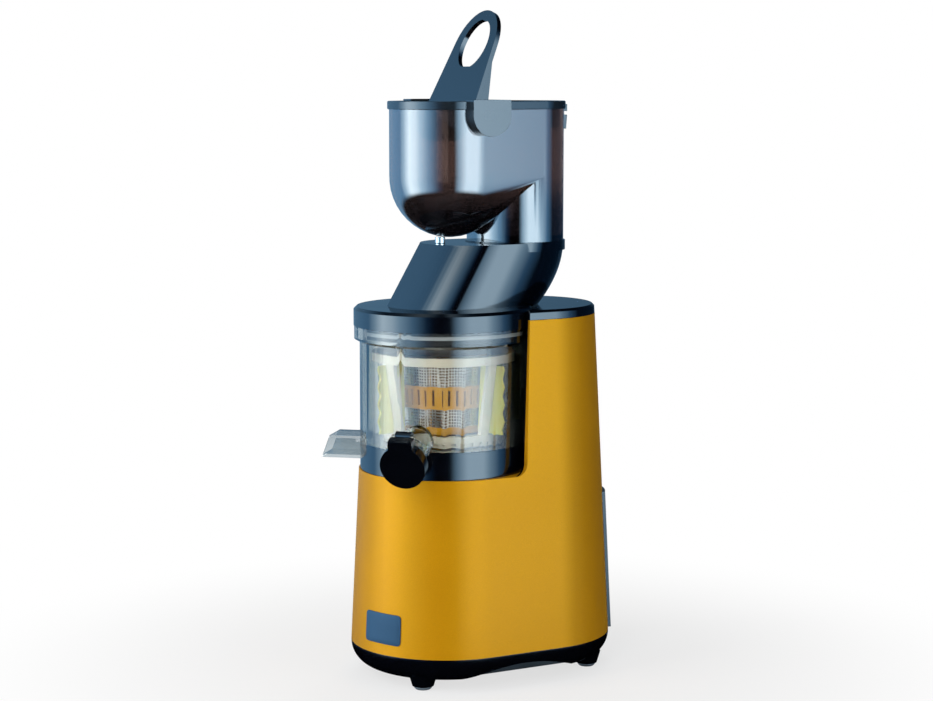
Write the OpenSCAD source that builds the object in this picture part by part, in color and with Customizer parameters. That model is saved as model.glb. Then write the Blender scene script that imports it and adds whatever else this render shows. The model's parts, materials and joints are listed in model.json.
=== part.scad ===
// Cold press juicer: a geared base with a rear column, a clear bowl with strainer, auger and
// turning wiper, a lid with a feed elbow, and a hopper with a flip gate.
// Millimetres, +Z up, -Y is the front. The modules are drawn about the middle of the base, and
// placed() moves them so that the origin is the middle of the whole outline, on the table.

/* [Base] */
// Width across the round ends of the body at its lower edge
base_w = 161; // [154:1:168]
// Width across the body at the top of the column
top_w = 134; // [132:1:146]
// Distance between the centres of the body's two round ends
body_straight = 68; // [64:1:84]
// Wall of the moulded housing
body_wall = 3; // [2.5:0.1:3.6]
// Height of the rubber feet and their bosses
foot_h = 8; // [6:1:12]
// Height of the bottom pan
pan_h = 21; // [18:1:26]
// Height of the deck that the bowl stands on
deck_h = 176; // [172:1:190]
// Height of the black cap on the column
cap_h = 8; // [5:1:12]
// Lean of the column's front edges
front_lean = 2.5; // [0:0.5:4]
// Distance of the column's front edges behind the middle of the base
front_y = 3.5; // [0:0.5:10]
// Radius of the fillet between deck and column
deck_fillet = 10; // [6:1:14]

/* [Bowl] */
// Outer radius of the bowl wall
bowl_r = 70; // [68:0.5:71]
// Wall of the bowl
bowl_wall = 2.5; // [2:0.1:3]
// Height of the bowl above its seat
bowl_h = 98; // [94:1:110]
// Height of the black seat ring on the deck
seat_h = 23; // [22:1:28]
// How far the bowl's collar stands out
collar_out = 4.5; // [3:0.5:4.5]
// Height of the bowl's collar
collar_h = 12; // [8:1:16]
// Outer radius of the juice spout
spout_r = 13.2; // [12:0.2:14]
// Reach of the juice spout from the bowl axis
spout_reach = 108; // [102:1:114]
// Slope of the juice spout
spout_slope = 20; // [14:1:22]
// Width of the pulp spout
pulp_w = 32; // [28:1:36]
// Reach of the pulp spout's lower lip from the bowl axis
pulp_reach = 102; // [98:1:112]

/* [Juicing set] */
// Outer radius of the strainer at its top
strainer_top_r = 39.5; // [38.5:0.5:40.5]
// Outer radius of the strainer at its foot
strainer_foot_r = 35.5; // [35:0.5:37]
// Height of the strainer above the bowl floor's gears
strainer_h = 63; // [58:1:66]
// Number of slots round the strainer's band
band_slots = 36; // [24:1:48]
// Outer radius of the wiper frame's top ring
wiper_r = 60; // [58:0.5:62]
// Number of arms, each with a soft blade, on the wiper frame
wiper_arms = 4; // [3:1:5]
// Lead of the auger's screw in one turn
auger_lead = 46; // [38:1:56]

/* [Lid and chute] */
// Height of the lid's rim
lid_h = 16; // [14:1:20]
// Outer radius of the feed tube
chute_r = 41; // [39:0.5:43]
// Wall of the chute and the hopper
chute_wall = 2.5; // [2:0.1:3]
// Height of the elbow above the lid
elbow_h = 52; // [46:1:60]
// Distance of the feed tube behind the bowl axis
chute_back = 69; // [64:1:72]

/* [Hopper] */
// Outer radius of the hopper's front end and of its round bottom
hopper_r = 50; // [48:0.5:54]
// Distance from the centre of the hopper's front end to the feed tube
hopper_straight = 63; // [60:1:68]
// Height of the hopper's rim above the elbow
hopper_h = 118; // [108:1:130]
// Height of the rim band
rim_h = 7; // [4:0.5:9]
// Lean of the open flip gate
gate_lean = 24; // [20:1:30]
// Thickness of the flip gate
gate_t = 4; // [3:0.5:5]
// Length of the flip gate above its pivot
gate_len = 90.5; // [86:0.5:92.5]
// Radius of the gate's finger hole
finger_r = 22; // [16:0.5:23]

/* [Drive] */
// Teeth of the motor pinion
motor_teeth = 12; // [12:1:13]
// Teeth of the wheel that the motor turns
wheel_teeth = 60; // [56:1:60]
// Module of the first gear pair
first_module = 0.9; // [0.85:0.05:0.9]
// Teeth of the pinion on the wheel
step_teeth = 12; // [12:1:14]
// Teeth of the output gear
output_teeth = 60; // [56:1:60]
// Module of the second gear pair
second_module = 1.25; // [1.2:0.05:1.25]
// Radius of the drive shaft
shaft_r = 6; // [5.5:0.1:6.4]
// Width of the drive shaft's hexagon across its flats
hex_flats = 9.4; // [8.6:0.2:10]
// Outer radius of the motor's can
motor_r = 35; // [32:1:37]
// Height of the motor's can
motor_h = 85; // [78:1:90]

/* [Hidden] */
$fn = 96;
// small gap between pieces of one body, and wider gap where bodies part
fit = 0.1;
clear = 0.3;
run = 0.05;
// levels, from the table up
z_body = foot_h + pan_h;
z_deck = deck_h;
z_seat = z_deck + seat_h;
z_collar = z_seat + bowl_h - collar_h;
z_lid = z_seat + bowl_h;
z_lid_top = z_lid + lid_h;
cap_gap = 1;
z_cap_top = z_lid_top - cap_gap;
z_column = z_cap_top - cap_h;
z_elbow = z_lid_top + elbow_h;
z_rim = z_elbow + hopper_h;
// plan of the body
base_r = base_w / 2;
top_r = top_w / 2;
body_c = body_straight / 2;
function body_r(z) = base_r - (base_r - top_r) * (z - z_body) / (z_column - z_body);
body_lean = atan((base_r - top_r) / (z_column - z_body));
seat_inset = 1;
bowl_y = -(body_c + body_r(z_deck) - bowl_r - seat_inset);
// pan and feet
pan_floor = 3;
pan_edge = pan_h - 1;
pan_cavity_r = base_r - 28;
tongue_h = 4;
tongue_t = 2.5;
grip_len = 110;
grip_h = 12;
grip_x = pan_cavity_r + 3;
grip_r = (grip_len * grip_len / 4 + grip_h * grip_h) / (2 * grip_h);
foot_x = 45;
foot_y = body_c + 45;
foot_r = 7.5;
foot_tip = 3;
foot_seat = 2;
foot_stem_r = 4;
foot_boss = 1.5;
foot_flare = 3;
screw_r = 2;
screw_head_r = 4;
screw_ring = base_r - 18;
screw_post_r = 5.5;
screw_post_h = 30;
// bowl and its seat
bowl_in = bowl_r - bowl_wall;
collar_r = bowl_r + collar_out;
lid_r = collar_r + 0.5;
recess_r = lid_r + 1.5;
liner_t = 2;
seat_wall = 3.5;
seat_floor = 4;
skirt_r = bowl_r - seat_wall - 0.5;
skirt_t = 2.5;
floor_t = 3;
hub_t = 4;
socket_r = 8;
juice_angle = 315;
pulp_angle = 229;
spout_wall = 4.2;
spout_z = z_seat + 9.5;
spout_bead_r = spout_r + 1.4;
spout_bead = 4;
spout_len = (spout_reach - bowl_in) / cos(spout_slope);
pulp_h = 19;
pulp_wall = 2.5;
pulp_z = z_seat - 16;
pulp_lip = 7;
// juice cap, in the frame of the spout's end
cap_skirt = 3.5;
cap_gap_r = 0.8;
cap_t = 3.2;
cap_r = spout_bead_r + cap_gap_r + 2.2;
strap_w = 18;
strap_t = 3;
pin_x = -9;
pin_z = spout_r + 7.3;
pin_r = 2;
lug_t = 3;
// juicing set
gear_z = z_seat + 1;
gear_h = 6;
set_module = 1;
auger_teeth = 24;
pinion_teeth = 32;
ring_teeth = auger_teeth + 2 * pinion_teeth;
pinion_angle = pulp_angle - 180;
pinion_dist = set_module * (auger_teeth + pinion_teeth) / 2;
pinion_pin_r = 3;
strainer_z = gear_z + gear_h + 3;
strainer_plate = 3;
screen_t = 0.8;
strainer_wall = 2.2;
strainer_top = strainer_z + strainer_h;
band_z = strainer_z + strainer_h / 3;
band_h = strainer_h * 0.3;
function strainer_r(z) = strainer_foot_r
    + (strainer_top_r - strainer_foot_r) * (z - strainer_z) / strainer_h;
chute_hole_r = 7;
chute_pipe_r = 9;
chute_pipe_at = 24;
leg_r = 3;
auger_neck_r = 11.5;
auger_z = strainer_z + strainer_plate + 1;
auger_top = strainer_top - 4;
auger_gap = 1.2;
auger_pin_r = 5;
wiper_top_h = 7;
wiper_top_t = 4;
wiper_foot_h = 9;
wiper_ring_in = set_module * ring_teeth / 2 + 1.25 * set_module;
wiper_foot_r = wiper_ring_in + 5;
wiper_top_z = strainer_top - 4;
arm_w = 9;
arm_first = 15;
castle_count = 40;
castle_h = 3.5;
blade_t = 2;
blade_gap = 0.5;
// lid and elbow
throat_r = strainer_top_r - 3.5;
throat_t = 2.5;
lid_plate = 6;
lid_edge = 2.5;
spigot_r = bowl_in - clear;
spigot_t = 3.4;
spigot_h = 9;
seal_h = 3;
seal_d = 1.5;
bush_r = 9;
bush_h = 12;
bush_hub = 3;
bush_arm = 5;
bush_z = strainer_top + 8;
elbow_front0 = -6.5;
elbow_rear0 = 45;
elbow_front1 = chute_back - 44.4;
elbow_steps = 12;
elbow_sink = 0.2;
elbow_wall = 3;
mouth_r = chute_r - 3;
mouth_h = 13;
// hopper and gate
chute_y = bowl_y + chute_back;
hopper_front_y = chute_y - hopper_straight;
hopper_lift_gap = 5;
hopper_zc = z_elbow + hopper_lift_gap + hopper_r;
hopper_in = hopper_r - chute_wall;
rim_out = 1.5;
flat_in = 0.03;
post_r = 4.2;
post_y = hopper_front_y - 8.7;
gate_y = hopper_front_y + 6.3;
gate_z = z_rim - 11;
gate_half = hopper_in - 5.5;
gate_end_r = chute_r - chute_wall - 4.5;
gate_offset = 4;
gate_drop = 26;
gate_round = 20;
gate_arc_s = gate_len - gate_end_r;
gate_taper = asin((gate_half - gate_end_r) / gate_arc_s);
finger_s = gate_arc_s + 3.5;
cheek_t = 4;
cheek_len = 49;
cheek_back = 6;
gate_pin_r = 4;
ear_r = 16;
ear_out = 12;
ear_wall = 4;
clip_w = 14;
clip_out = 6;
// electric parts
capacitor_r = 13;
capacitor_l = 46;
capacitor_y_gap = 2;
board_w = 66;
board_l = 42;
board_t = 1.6;
board_foot = 6;
// drive train
gear_backlash = 0.12;
wheel_dist = first_module * (motor_teeth + wheel_teeth) / 2;
step_dist = second_module * (step_teeth + output_teeth) / 2;
wheel_y = bowl_y + step_dist;
motor_y = wheel_y + wheel_dist;
capacitor_y = motor_y - motor_r - capacitor_r - capacitor_y_gap;
board_y = capacitor_y - capacitor_r - capacitor_y_gap - board_l / 2;
box_wall = 3;
box_top = z_deck - body_wall - 3;
box_plate = 3;
box_z = box_top - 33;
output_z = box_z + box_plate + 3;
output_h = 10;
wheel_z = output_z + output_h + 3;
wheel_h = 7;
output_tip = second_module * (output_teeth / 2 + 1);
wheel_tip = first_module * (wheel_teeth / 2 + 1);
box_front_r = output_tip + 2.5 + box_wall;
box_mid_r = wheel_tip + 2.5 + box_wall;
box_rear_r = 12;
axle_r = 3;
bush_t = 3;
boss_r = shaft_r + bush_t + 2.8;
hex_r = hex_flats / 2 / cos(30);
hex_top = z_seat + 4;
post_front_x = box_front_r + 5.5;
post_rear_x = motor_r + 7;
box_post_r = 5;
box_screw_r = 1.6;
bracket_h = 22;
motor_z = box_z - motor_h;
motor_wall = 3;
motor_shaft_r = 4;
rotor_r = motor_r - 13;
fan_h = 8;
fan_gap = 3;
// rear panel
panel_t = 2.5;
panel_half = 45;
panel_z0 = z_body + 2;
panel_z1 = 150;
switch_z = 112;
switch_w = 20;
switch_l = 30;
rocker_w = 14;
rocker_l = 22;
rocker_in = 4;
rocker_pin_r = 1.5;
rocker_pin_in = 2;
gland_z = 58;
gland_r = 7;
cord_hole_r = 3.6;
flange = 2;
flange_sink = 1;
// how far the capped juice spout, the pulp spout and the gland reach, for the origin
cap_reach = bowl_in + (spout_len + clear + cap_t) * cos(spout_slope);
cap_half_x = cap_r * sqrt(1 - pow(cos(spout_slope) * cos(juice_angle), 2));
cap_half_y = cap_r * sqrt(1 - pow(cos(spout_slope) * sin(juice_angle), 2));
gland_len = 4;
x_right = max(base_r, cap_reach * cos(juice_angle) + cap_half_x);
x_left = min(-base_r, pulp_reach * cos(pulp_angle) + pulp_w / 2 * sin(pulp_angle));
y_front = bowl_y + min(
    cap_reach * sin(juice_angle) - cap_half_y,
    pulp_reach * sin(pulp_angle) + pulp_w / 2 * cos(pulp_angle)
);
y_rear = body_c + body_r(gland_z) + panel_t + (fit - flange_sink + gland_len) * cos(body_lean)
    + (gland_r + 2) * sin(body_lean);

// ---- shared shapes ----

// moves the middle of the whole outline to the origin
module placed() {
    translate([-(x_left + x_right) / 2, -(y_front + y_rear) / 2, 0]) children();
}

// a half profile (radius, height) carried round two half circles and along the straights between
module racetrack(half) {
    translate([0, half, 0]) rotate_extrude(angle = 180) children();
    translate([0, -half, 0]) rotate([0, 0, 180]) rotate_extrude(angle = 180) children();
    rotate([90, 0, 0]) linear_extrude(2 * half, center = true) {
        children();
        mirror([1, 0]) children();
    }
}

// the body's tapered form between two levels, moved inwards by inset
module body_form(z0, z1, inset) {
    racetrack(body_c) polygon([
        [0, z0], [body_r(z0) - inset, z0], [body_r(z1) - inset, z1], [0, z1]
    ]);
}

// the room in front of the column and above the deck; grow moves its faces outwards
module front_room(grow, round_r) {
    z0 = z_deck - grow;
    z1 = z_lid_top + 40;
    far = 300;
    foot_edge = front_y + grow / cos(front_lean);
    top_edge = foot_edge + (z1 - z0) * tan(front_lean);
    cy = foot_edge + round_r * tan(front_lean) - round_r / cos(front_lean);
    cz = z0 + round_r;
    rotate([90, 0, 90]) linear_extrude(2 * far, center = true) {
        polygon([
            [-far, z0], [cy, z0], [cy, cz],
            [cy + round_r * cos(front_lean), cz - round_r * sin(front_lean)],
            [top_edge, z1], [-far, z1]
        ]);
        translate([cy, cz]) circle(round_r);
    }
}

// a ring of radius r0 to r1 about the bowl axis
module bowl_ring(r0, r1, z0, z1) {
    translate([0, bowl_y, z0]) difference() {
        cylinder(h = z1 - z0, r = r1);
        translate([0, 0, -1]) cylinder(h = z1 - z0 + 2, r = r0);
    }
}

// children stand at a distance from the bowl axis, in a direction
module from_bowl(angle, dist) {
    translate([0, bowl_y, 0]) rotate([0, 0, angle]) translate([dist, 0, 0]) children();
}

// four places, mirrored left and right and front and rear
module four(x, y_front, y_rear) {
    for (side = [-1, 1]) {
        translate([side * x, y_front, 0]) children();
        translate([side * x, y_rear, 0]) children();
    }
}

// solid skinned over closed rings of points, each ring running anticlockwise seen from above
module loft(rings) {
    n = len(rings);
    m = len(rings[0]);
    sides = [for (i = [0:n - 2]) for (j = [0:m - 1])
        let (k = (j + 1) % m)
        each [[i * m + j, (i + 1) * m + j, (i + 1) * m + k], [i * m + j, (i + 1) * m + k, i * m + k]]];
    polyhedron(
        points = [for (r = rings) each r],
        faces = concat([[for (j = [0:m - 1]) j]], sides, [[for (j = [m - 1:-1:0]) (n - 1) * m + j]])
    );
}

// ---- gear teeth ----

function polar(r, a) = [r * cos(a), r * sin(a)];
function involute(a) = tan(a) - a * PI / 180;
// half the angle that a tooth fills at radius r; thin is taken off each flank
function tooth_half(r, n, m, thin) = let (pitch = n * m / 2, rb = pitch * cos(20))
    90 / n + 180 / PI * (involute(20) - thin / pitch - (r > rb ? involute(acos(rb / r)) : 0));
function gear_points(n, m, add, ded, thin) = let (
    pitch = n * m / 2,
    root = pitch - ded * m,
    radii = [root, max(pitch * cos(20), (root + pitch) / 2), pitch, pitch + add * m],
    half = [for (r = radii) tooth_half(r, n, m, thin)]
) [for (i = [0:n - 1], k = [0:7]) let (j = k < 4 ? k : 7 - k, side = k < 4 ? -1 : 1)
    polar(radii[j], i * 360 / n + side * half[j])];
module gear(n, m, h) {
    linear_extrude(h) polygon(gear_points(n, m, 0.85, 1.2, gear_backlash));
}

// ---- base ----

module housing() {
    color("goldenrod") {
        difference() {
            body_form(z_body, z_column, 0);
            front_room(0, deck_fillet);
            bowl_column(recess_r + liner_t, z_deck, z_column + 1);
            difference() {
                body_form(z_body - 1, z_column + 1, body_wall);
                front_room(body_wall, deck_fillet);
                bowl_column(recess_r + liner_t + body_wall, z_deck - body_wall, z_column + 2);
            }
            // hole for the gearbox boss, and the switch and gland openings at the rear
            translate([0, bowl_y, z_deck - 20]) cylinder(h = 40, r = boss_r + clear);
            rear_openings();
        }
        // posts for the pan's screws, each tied to the wall by a web
        four_screws() difference() {
            union() {
                translate([0, 0, z_body + tongue_h + 1])
                    cylinder(h = screw_post_h, r = screw_post_r);
                translate([0, -2, z_body + tongue_h + 1])
                    cube([base_r - screw_ring - body_wall / 2, 4, screw_post_h - 4]);
            }
            translate([0, 0, z_body]) cylinder(h = screw_post_h, r = screw_r + fit / 2);
        }
        // posts that carry the gearbox: two under the deck, two on brackets of the side walls
        difference() {
            union() {
                box_posts() translate([0, 0, box_z + box_plate])
                    cylinder(h = z_deck - box_z - box_plate - 1, r = box_post_r);
                for (side = [0, 180]) translate([0, motor_y, box_z + box_plate])
                    rotate([0, 0, side]) translate([post_rear_x, -2, 0])
                        cube([body_r(z_deck) - post_rear_x - 1.2, 4, bracket_h]);
            }
            box_posts() translate([0, 0, box_z]) cylinder(h = 20, r = box_screw_r + fit / 2);
        }
    }
}

// places of the pan's screws round the four quarter bends
module four_screws() {
    for (end = [0, 180], turn = [30, 150])
        rotate([0, 0, end]) translate([0, body_c, 0]) rotate([0, 0, turn])
            translate([screw_ring, 0, 0]) children();
}

module box_posts() {
    for (side = [-1, 1]) {
        translate([side * post_front_x, bowl_y, 0]) children();
        translate([side * post_rear_x, motor_y, 0]) children();
    }
}

module bowl_column(r, z0, z1) {
    translate([0, bowl_y, z0]) cylinder(h = z1 - z0, r = r);
}

// children stand on the rear panel's face at a level, square to the leaning wall
module on_rear(z) {
    translate([0, body_c + body_r(z) + panel_t, z]) rotate([body_lean, 0, 0]) children();
}

module rear_openings() {
    on_rear(switch_z) translate([-switch_w / 2, -30, -switch_l / 2])
        cube([switch_w, 60, switch_l]);
    on_rear(gland_z) rotate([90, 0, 0]) cylinder(h = 60, r = gland_r, center = true);
}

module bottom_pan() {
    color("black") difference() {
        union() {
            racetrack(body_c) difference() {
                union() {
                    translate([0, foot_h]) square([base_r - pan_edge, pan_h]);
                    intersection() {
                        translate([base_r - pan_edge, foot_h + pan_edge]) circle(pan_edge);
                        translate([base_r - pan_edge - 1, foot_h]) square([pan_edge + 2, pan_edge]);
                    }
                    translate([base_r - pan_edge - 1, foot_h + pan_edge])
                        square([pan_edge + 1, pan_h - pan_edge]);
                    translate([body_r(z_body) - body_wall - 0.4 - tongue_t, z_body - 1])
                        square([tongue_t, tongue_h + 1]);
                }
                translate([0, foot_h + pan_floor]) square([pan_cavity_r, pan_h + tongue_h]);
            }
            four(foot_x, -foot_y, foot_y) translate([0, 0, foot_tip])
                cylinder(h = foot_h + 2, r1 = foot_r + foot_boss, r2 = foot_r + foot_boss + foot_flare);
            // feet of the control board
            for (x = [-1, 1], y = [-1, 1])
                translate([x * (board_w / 2 - 4), board_y + y * (board_l / 2 - 5), foot_h + 1])
                    cylinder(h = pan_floor + board_foot - 1, r = 3);
        }
        for (side = [0, 180]) rotate([0, 0, side])
            translate([grip_x, 0, foot_h + grip_h - grip_r]) rotate([0, 90, 0])
                cylinder(h = base_r, r = grip_r);
        four(foot_x, -foot_y, foot_y) {
            cylinder(h = foot_tip + foot_seat + fit, r = foot_r + fit);
            cylinder(h = foot_h + 6, r = foot_stem_r + fit);
        }
        four_screws() {
            translate([0, 0, foot_h - 2]) cylinder(h = 8, r = screw_head_r + clear);
            cylinder(h = z_body + 10, r = screw_r + fit);
        }
        for (x = [-24:8:24]) translate([x - 1.5, motor_y - 22, foot_h - 1])
            cube([3, 44, pan_floor + 2]);
    }
}

module rubber_feet() {
    color("slategray") four(foot_x, -foot_y, foot_y) rotate_extrude() polygon([
        [0, 0], [foot_r - 1.5, 0], [foot_r, 1.5], [foot_r, foot_tip + foot_seat],
        [foot_stem_r, foot_tip + foot_seat], [foot_stem_r, foot_h + 5], [0, foot_h + 5]
    ]);
}

module housing_screws() {
    color("silver") four_screws() {
        translate([0, 0, foot_h + 2]) cylinder(h = 4, r = screw_head_r);
        translate([0, 0, foot_h + 5]) cylinder(h = z_body + 20 - foot_h, r = screw_r);
    }
}

module top_cap() {
    lip = 4;
    color("black") difference() {
        union() {
            racetrack(body_c) polygon([
                [0, z_column], [body_r(z_column), z_column], [body_r(z_cap_top), z_cap_top - 2],
                [body_r(z_cap_top) - 2, z_cap_top], [0, z_cap_top]
            ]);
            difference() {
                body_form(z_column - lip, z_column + 1, body_wall + fit);
                body_form(z_column - lip - 1, z_column, body_wall + 2.5);
            }
        }
        front_room(0, deck_fillet);
        bowl_column(recess_r, z_deck, z_cap_top + 1);
        difference() {
            front_room(body_wall + fit, deck_fillet);
            translate([-base_r, -base_r * 2, z_column]) cube([base_w, base_w * 2, cap_h + 50]);
        }
        difference() {
            bowl_column(recess_r + liner_t + body_wall + fit, z_deck, z_cap_top);
            translate([-base_r, -base_r * 2, z_column]) cube([base_w, base_w * 2, cap_h + 50]);
        }
    }
}

module recess_liner() {
    color("black") difference() {
        bowl_ring(recess_r, recess_r + liner_t - fit, z_deck, z_column);
        front_room(0, deck_fillet);
    }
}

module bowl_seat() {
    color("black") difference() {
        translate([0, bowl_y, 0]) rotate_extrude() polygon([
            [shaft_r + bush_t + fit, z_deck], [bowl_r, z_deck], [bowl_r, z_seat],
            [bowl_r - seat_wall, z_seat], [bowl_r - seat_wall, z_deck + seat_floor],
            [shaft_r + bush_t + fit, z_deck + seat_floor]
        ]);
        from_bowl(pulp_angle, 0)
            translate([bowl_r / 2, -pulp_w / 2 - 0.6, pulp_z - 0.6])
                cube([bowl_r, pulp_w + 1.2, z_seat - pulp_z + 2]);
    }
}

module rear_panel() {
    color("black") difference() {
        intersection() {
            difference() {
                body_form(panel_z0, panel_z1, -panel_t);
                body_form(panel_z0 - 1, panel_z1 + 1, -fit);
            }
            // slanted top edge
            translate([0, body_c, 0]) rotate([90, 0, 90])
                linear_extrude(2 * panel_half, center = true) polygon([
                    [base_r - 40, panel_z0 - 1], [base_r + 10, panel_z0 - 1],
                    [base_r + 10, panel_z1 - 12], [base_r - 7, panel_z1], [base_r - 40, panel_z1]
                ]);
        }
        rear_openings();
        on_rear(switch_z) translate([0, 5 - flange_sink, 0])
            cube([switch_w + 2 * (flange + fit), 10, switch_l + 2 * (flange + fit)], center = true);
        on_rear(gland_z) translate([0, -flange_sink, 0]) rotate([-90, 0, 0])
            cylinder(h = 10, r = gland_r + 3 + fit);
    }
}

module switch_frame() {
    color("black") on_rear(switch_z) difference() {
        union() {
            translate([-switch_w / 2 - flange, fit - flange_sink, -switch_l / 2 - flange])
                cube([switch_w + 2 * flange, flange_sink + 1.5, switch_l + 2 * flange]);
            translate([-switch_w / 2 + fit, -24, -switch_l / 2 + fit])
                cube([switch_w - 2 * fit, 25, switch_l - 2 * fit]);
        }
        translate([-rocker_w / 2 - 0.5, -12, -rocker_l / 2 - 1.5])
            cube([rocker_w + 1, 20, rocker_l + 3]);
        rocker_pins(rocker_pin_r + run, rocker_pin_in + 0.2);
    }
}

// pivot of the rocker, rocker_in behind the panel's face
module rocker_pins(r, reach) {
    translate([0, -rocker_in, 0]) rotate([0, 90, 0])
        cylinder(h = rocker_w + 2 * reach, r = r, center = true);
}

// rocker with a hollowed face, on two short pins
module rocker_switch() {
    bow = 20;
    color("dimgray") on_rear(switch_z) {
        rotate([90, 0, 90]) linear_extrude(rocker_w, center = true) difference() {
            intersection() {
                translate([rocker_in - bow, 0]) circle(bow);
                translate([-rocker_in - 2, -rocker_l / 2]) square([bow, rocker_l]);
            }
            translate([bow + rocker_in - 0.8, 0]) circle(bow);
        }
        rocker_pins(rocker_pin_r, rocker_pin_in);
    }
}

module cord_gland() {
    color("black") on_rear(gland_z) rotate([-90, 0, 0]) difference() {
        union() {
            translate([0, 0, -10]) cylinder(h = 11, r = gland_r - fit);
            translate([0, 0, fit - flange_sink])
                cylinder(h = gland_len, r1 = gland_r + 3, r2 = gland_r + 2);
        }
        translate([0, 0, -11]) cylinder(h = 20, r = cord_hole_r);
    }
}

// ---- motor and gears ----

module motor_can() {
    color("silver") translate([0, motor_y, motor_z]) difference() {
        cylinder(h = motor_h, r = motor_r);
        translate([0, 0, motor_wall]) cylinder(h = motor_h - 2 * motor_wall, r = motor_r - motor_wall);
        translate([0, 0, -1]) cylinder(h = motor_h + 2, r = motor_shaft_r + run);
        for (a = [0:60:300]) rotate([0, 0, a + 30]) translate([18, 0, -1])
            cylinder(h = motor_wall + 2, r = 5);
    }
}

module motor_stator() {
    color("sienna") translate([0, motor_y, motor_z + motor_h * 0.2]) difference() {
        cylinder(h = motor_h * 0.55, r = motor_r - motor_wall - fit);
        translate([0, 0, -1]) cylinder(h = motor_h, r = rotor_r + 0.6);
        for (a = [0:30:330]) rotate([0, 0, a]) translate([rotor_r + 4.5, 0, -1])
            cylinder(h = motor_h, r = 2.6);
    }
}

module motor_rotor() {
    color("gray") translate([0, motor_y, 0]) {
        translate([0, 0, motor_z + motor_h * 0.22]) cylinder(h = motor_h * 0.5, r = rotor_r);
        translate([0, 0, motor_z - fan_h - fan_gap])
            cylinder(h = wheel_z - motor_z + fan_h + fan_gap, r = motor_shaft_r);
        translate([0, 0, wheel_z - 1]) rotate([0, 0, 270])
            gear(motor_teeth, first_module, wheel_h + 2);
    }
}

module motor_fan() {
    color("white") translate([0, motor_y, motor_z - fan_h - fan_gap]) difference() {
        union() {
            cylinder(h = 1.5, r = motor_r - 5);
            cylinder(h = fan_h, r = motor_shaft_r + 4);
            for (a = [0:40:320]) rotate([0, 0, a]) translate([motor_shaft_r + 2, 0, 0])
                rotate([0, 0, 25]) cube([motor_r - 14, 1.5, fan_h]);
        }
        translate([0, 0, -1]) cylinder(h = fan_h + 2, r = motor_shaft_r + run);
    }
}

module box_outline(shrink) {
    translate([0, bowl_y]) circle(box_front_r - shrink);
    translate([0, wheel_y]) circle(box_mid_r - shrink);
    translate([0, motor_y]) circle(box_rear_r - shrink);
}

module gearbox_base() {
    color("darkgray") difference() {
        union() {
            translate([0, 0, box_z]) linear_extrude(box_top - box_z - box_plate) box_outline(0);
            translate([0, motor_y, box_z]) cylinder(h = box_plate, r = motor_r + 1);
            for (p = [[post_front_x, bowl_y], [post_rear_x, motor_y]])
                translate([0, p[1], box_z]) {
                    translate([-p[0], -box_post_r, 0]) cube([2 * p[0], 2 * box_post_r, box_plate]);
                    for (side = [-1, 1]) translate([side * p[0], 0, 0])
                        cylinder(h = box_plate, r = box_post_r);
                }
        }
        translate([0, 0, box_z + box_plate]) linear_extrude(box_top) box_outline(box_wall);
        bush_hole();
        translate([0, wheel_y, box_z + 1]) cylinder(h = 10, r = axle_r + run);
        translate([0, motor_y, box_z - 1]) cylinder(h = 20, r = motor_shaft_r + 1.5);
        box_posts() translate([0, 0, box_z - 1]) cylinder(h = 20, r = box_screw_r + fit);
    }
}

module bush_hole() {
    translate([0, bowl_y, box_z - 1]) cylinder(h = 200, r = shaft_r + bush_t + fit / 2);
}

module gearbox_cover() {
    color("darkgray") difference() {
        union() {
            translate([0, 0, box_top - box_plate]) linear_extrude(box_plate) box_outline(0);
            translate([0, bowl_y, box_top - 1]) cylinder(h = z_deck - box_top + 1, r = boss_r);
        }
        bush_hole();
        translate([0, wheel_y, box_top - box_plate - 1]) cylinder(h = box_plate, r = axle_r + run);
    }
}

module gearbox_screws() {
    color("silver") box_posts() {
        translate([0, 0, box_z - 3]) cylinder(h = 3, r = 3.4);
        translate([0, 0, box_z - 1]) cylinder(h = box_plate + 15, r = box_screw_r);
    }
}

module gear_axle() {
    color("silver") translate([0, wheel_y, box_z + 1])
        cylinder(h = box_top - box_z - 2.2, r = axle_r);
}

module step_gear() {
    color("ivory") translate([0, wheel_y, 0]) difference() {
        union() {
            translate([0, 0, output_z]) rotate([0, 0, 270])
                gear(step_teeth, second_module, wheel_z - output_z + 0.5);
            translate([0, 0, wheel_z]) rotate([0, 0, 90 + 180 / wheel_teeth])
                gear(wheel_teeth, first_module, wheel_h);
        }
        translate([0, 0, output_z - 1]) cylinder(h = 40, r = axle_r + run);
    }
}

module output_gear() {
    hole_ring = output_tip / 2 + 3;
    color("ivory") translate([0, bowl_y, output_z]) difference() {
        union() {
            rotate([0, 0, 90 + 180 / output_teeth]) gear(output_teeth, second_module, output_h);
            translate([0, 0, output_h - 1]) cylinder(h = 3, r = shaft_r + 4);
        }
        translate([0, 0, -1]) cylinder(h = output_h + 5, r = shaft_r + run / 2);
        for (a = [0:60:300]) rotate([0, 0, a]) translate([hole_ring, 0, -1])
            cylinder(h = output_h + 2, r = 6);
    }
}

module drive_shaft() {
    color("silver") translate([0, bowl_y, 0]) {
        translate([0, 0, box_z]) cylinder(h = z_deck + seat_floor + 1 - box_z, r = shaft_r);
        translate([0, 0, z_deck]) cylinder(h = hex_top - z_deck, r = hex_r, $fn = 6);
    }
}

module shaft_bushes() {
    color("peru") {
        bowl_ring(shaft_r + run, shaft_r + bush_t, box_z, box_z + box_plate + 2.5);
        bowl_ring(shaft_r + run, shaft_r + bush_t, box_top - box_plate, z_deck - 0.2);
    }
}

module shaft_seal() {
    color("dimgray") bowl_ring(shaft_r + run, shaft_r + bush_t, z_deck, z_deck + seat_floor);
}

// ---- electric parts ----

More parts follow.
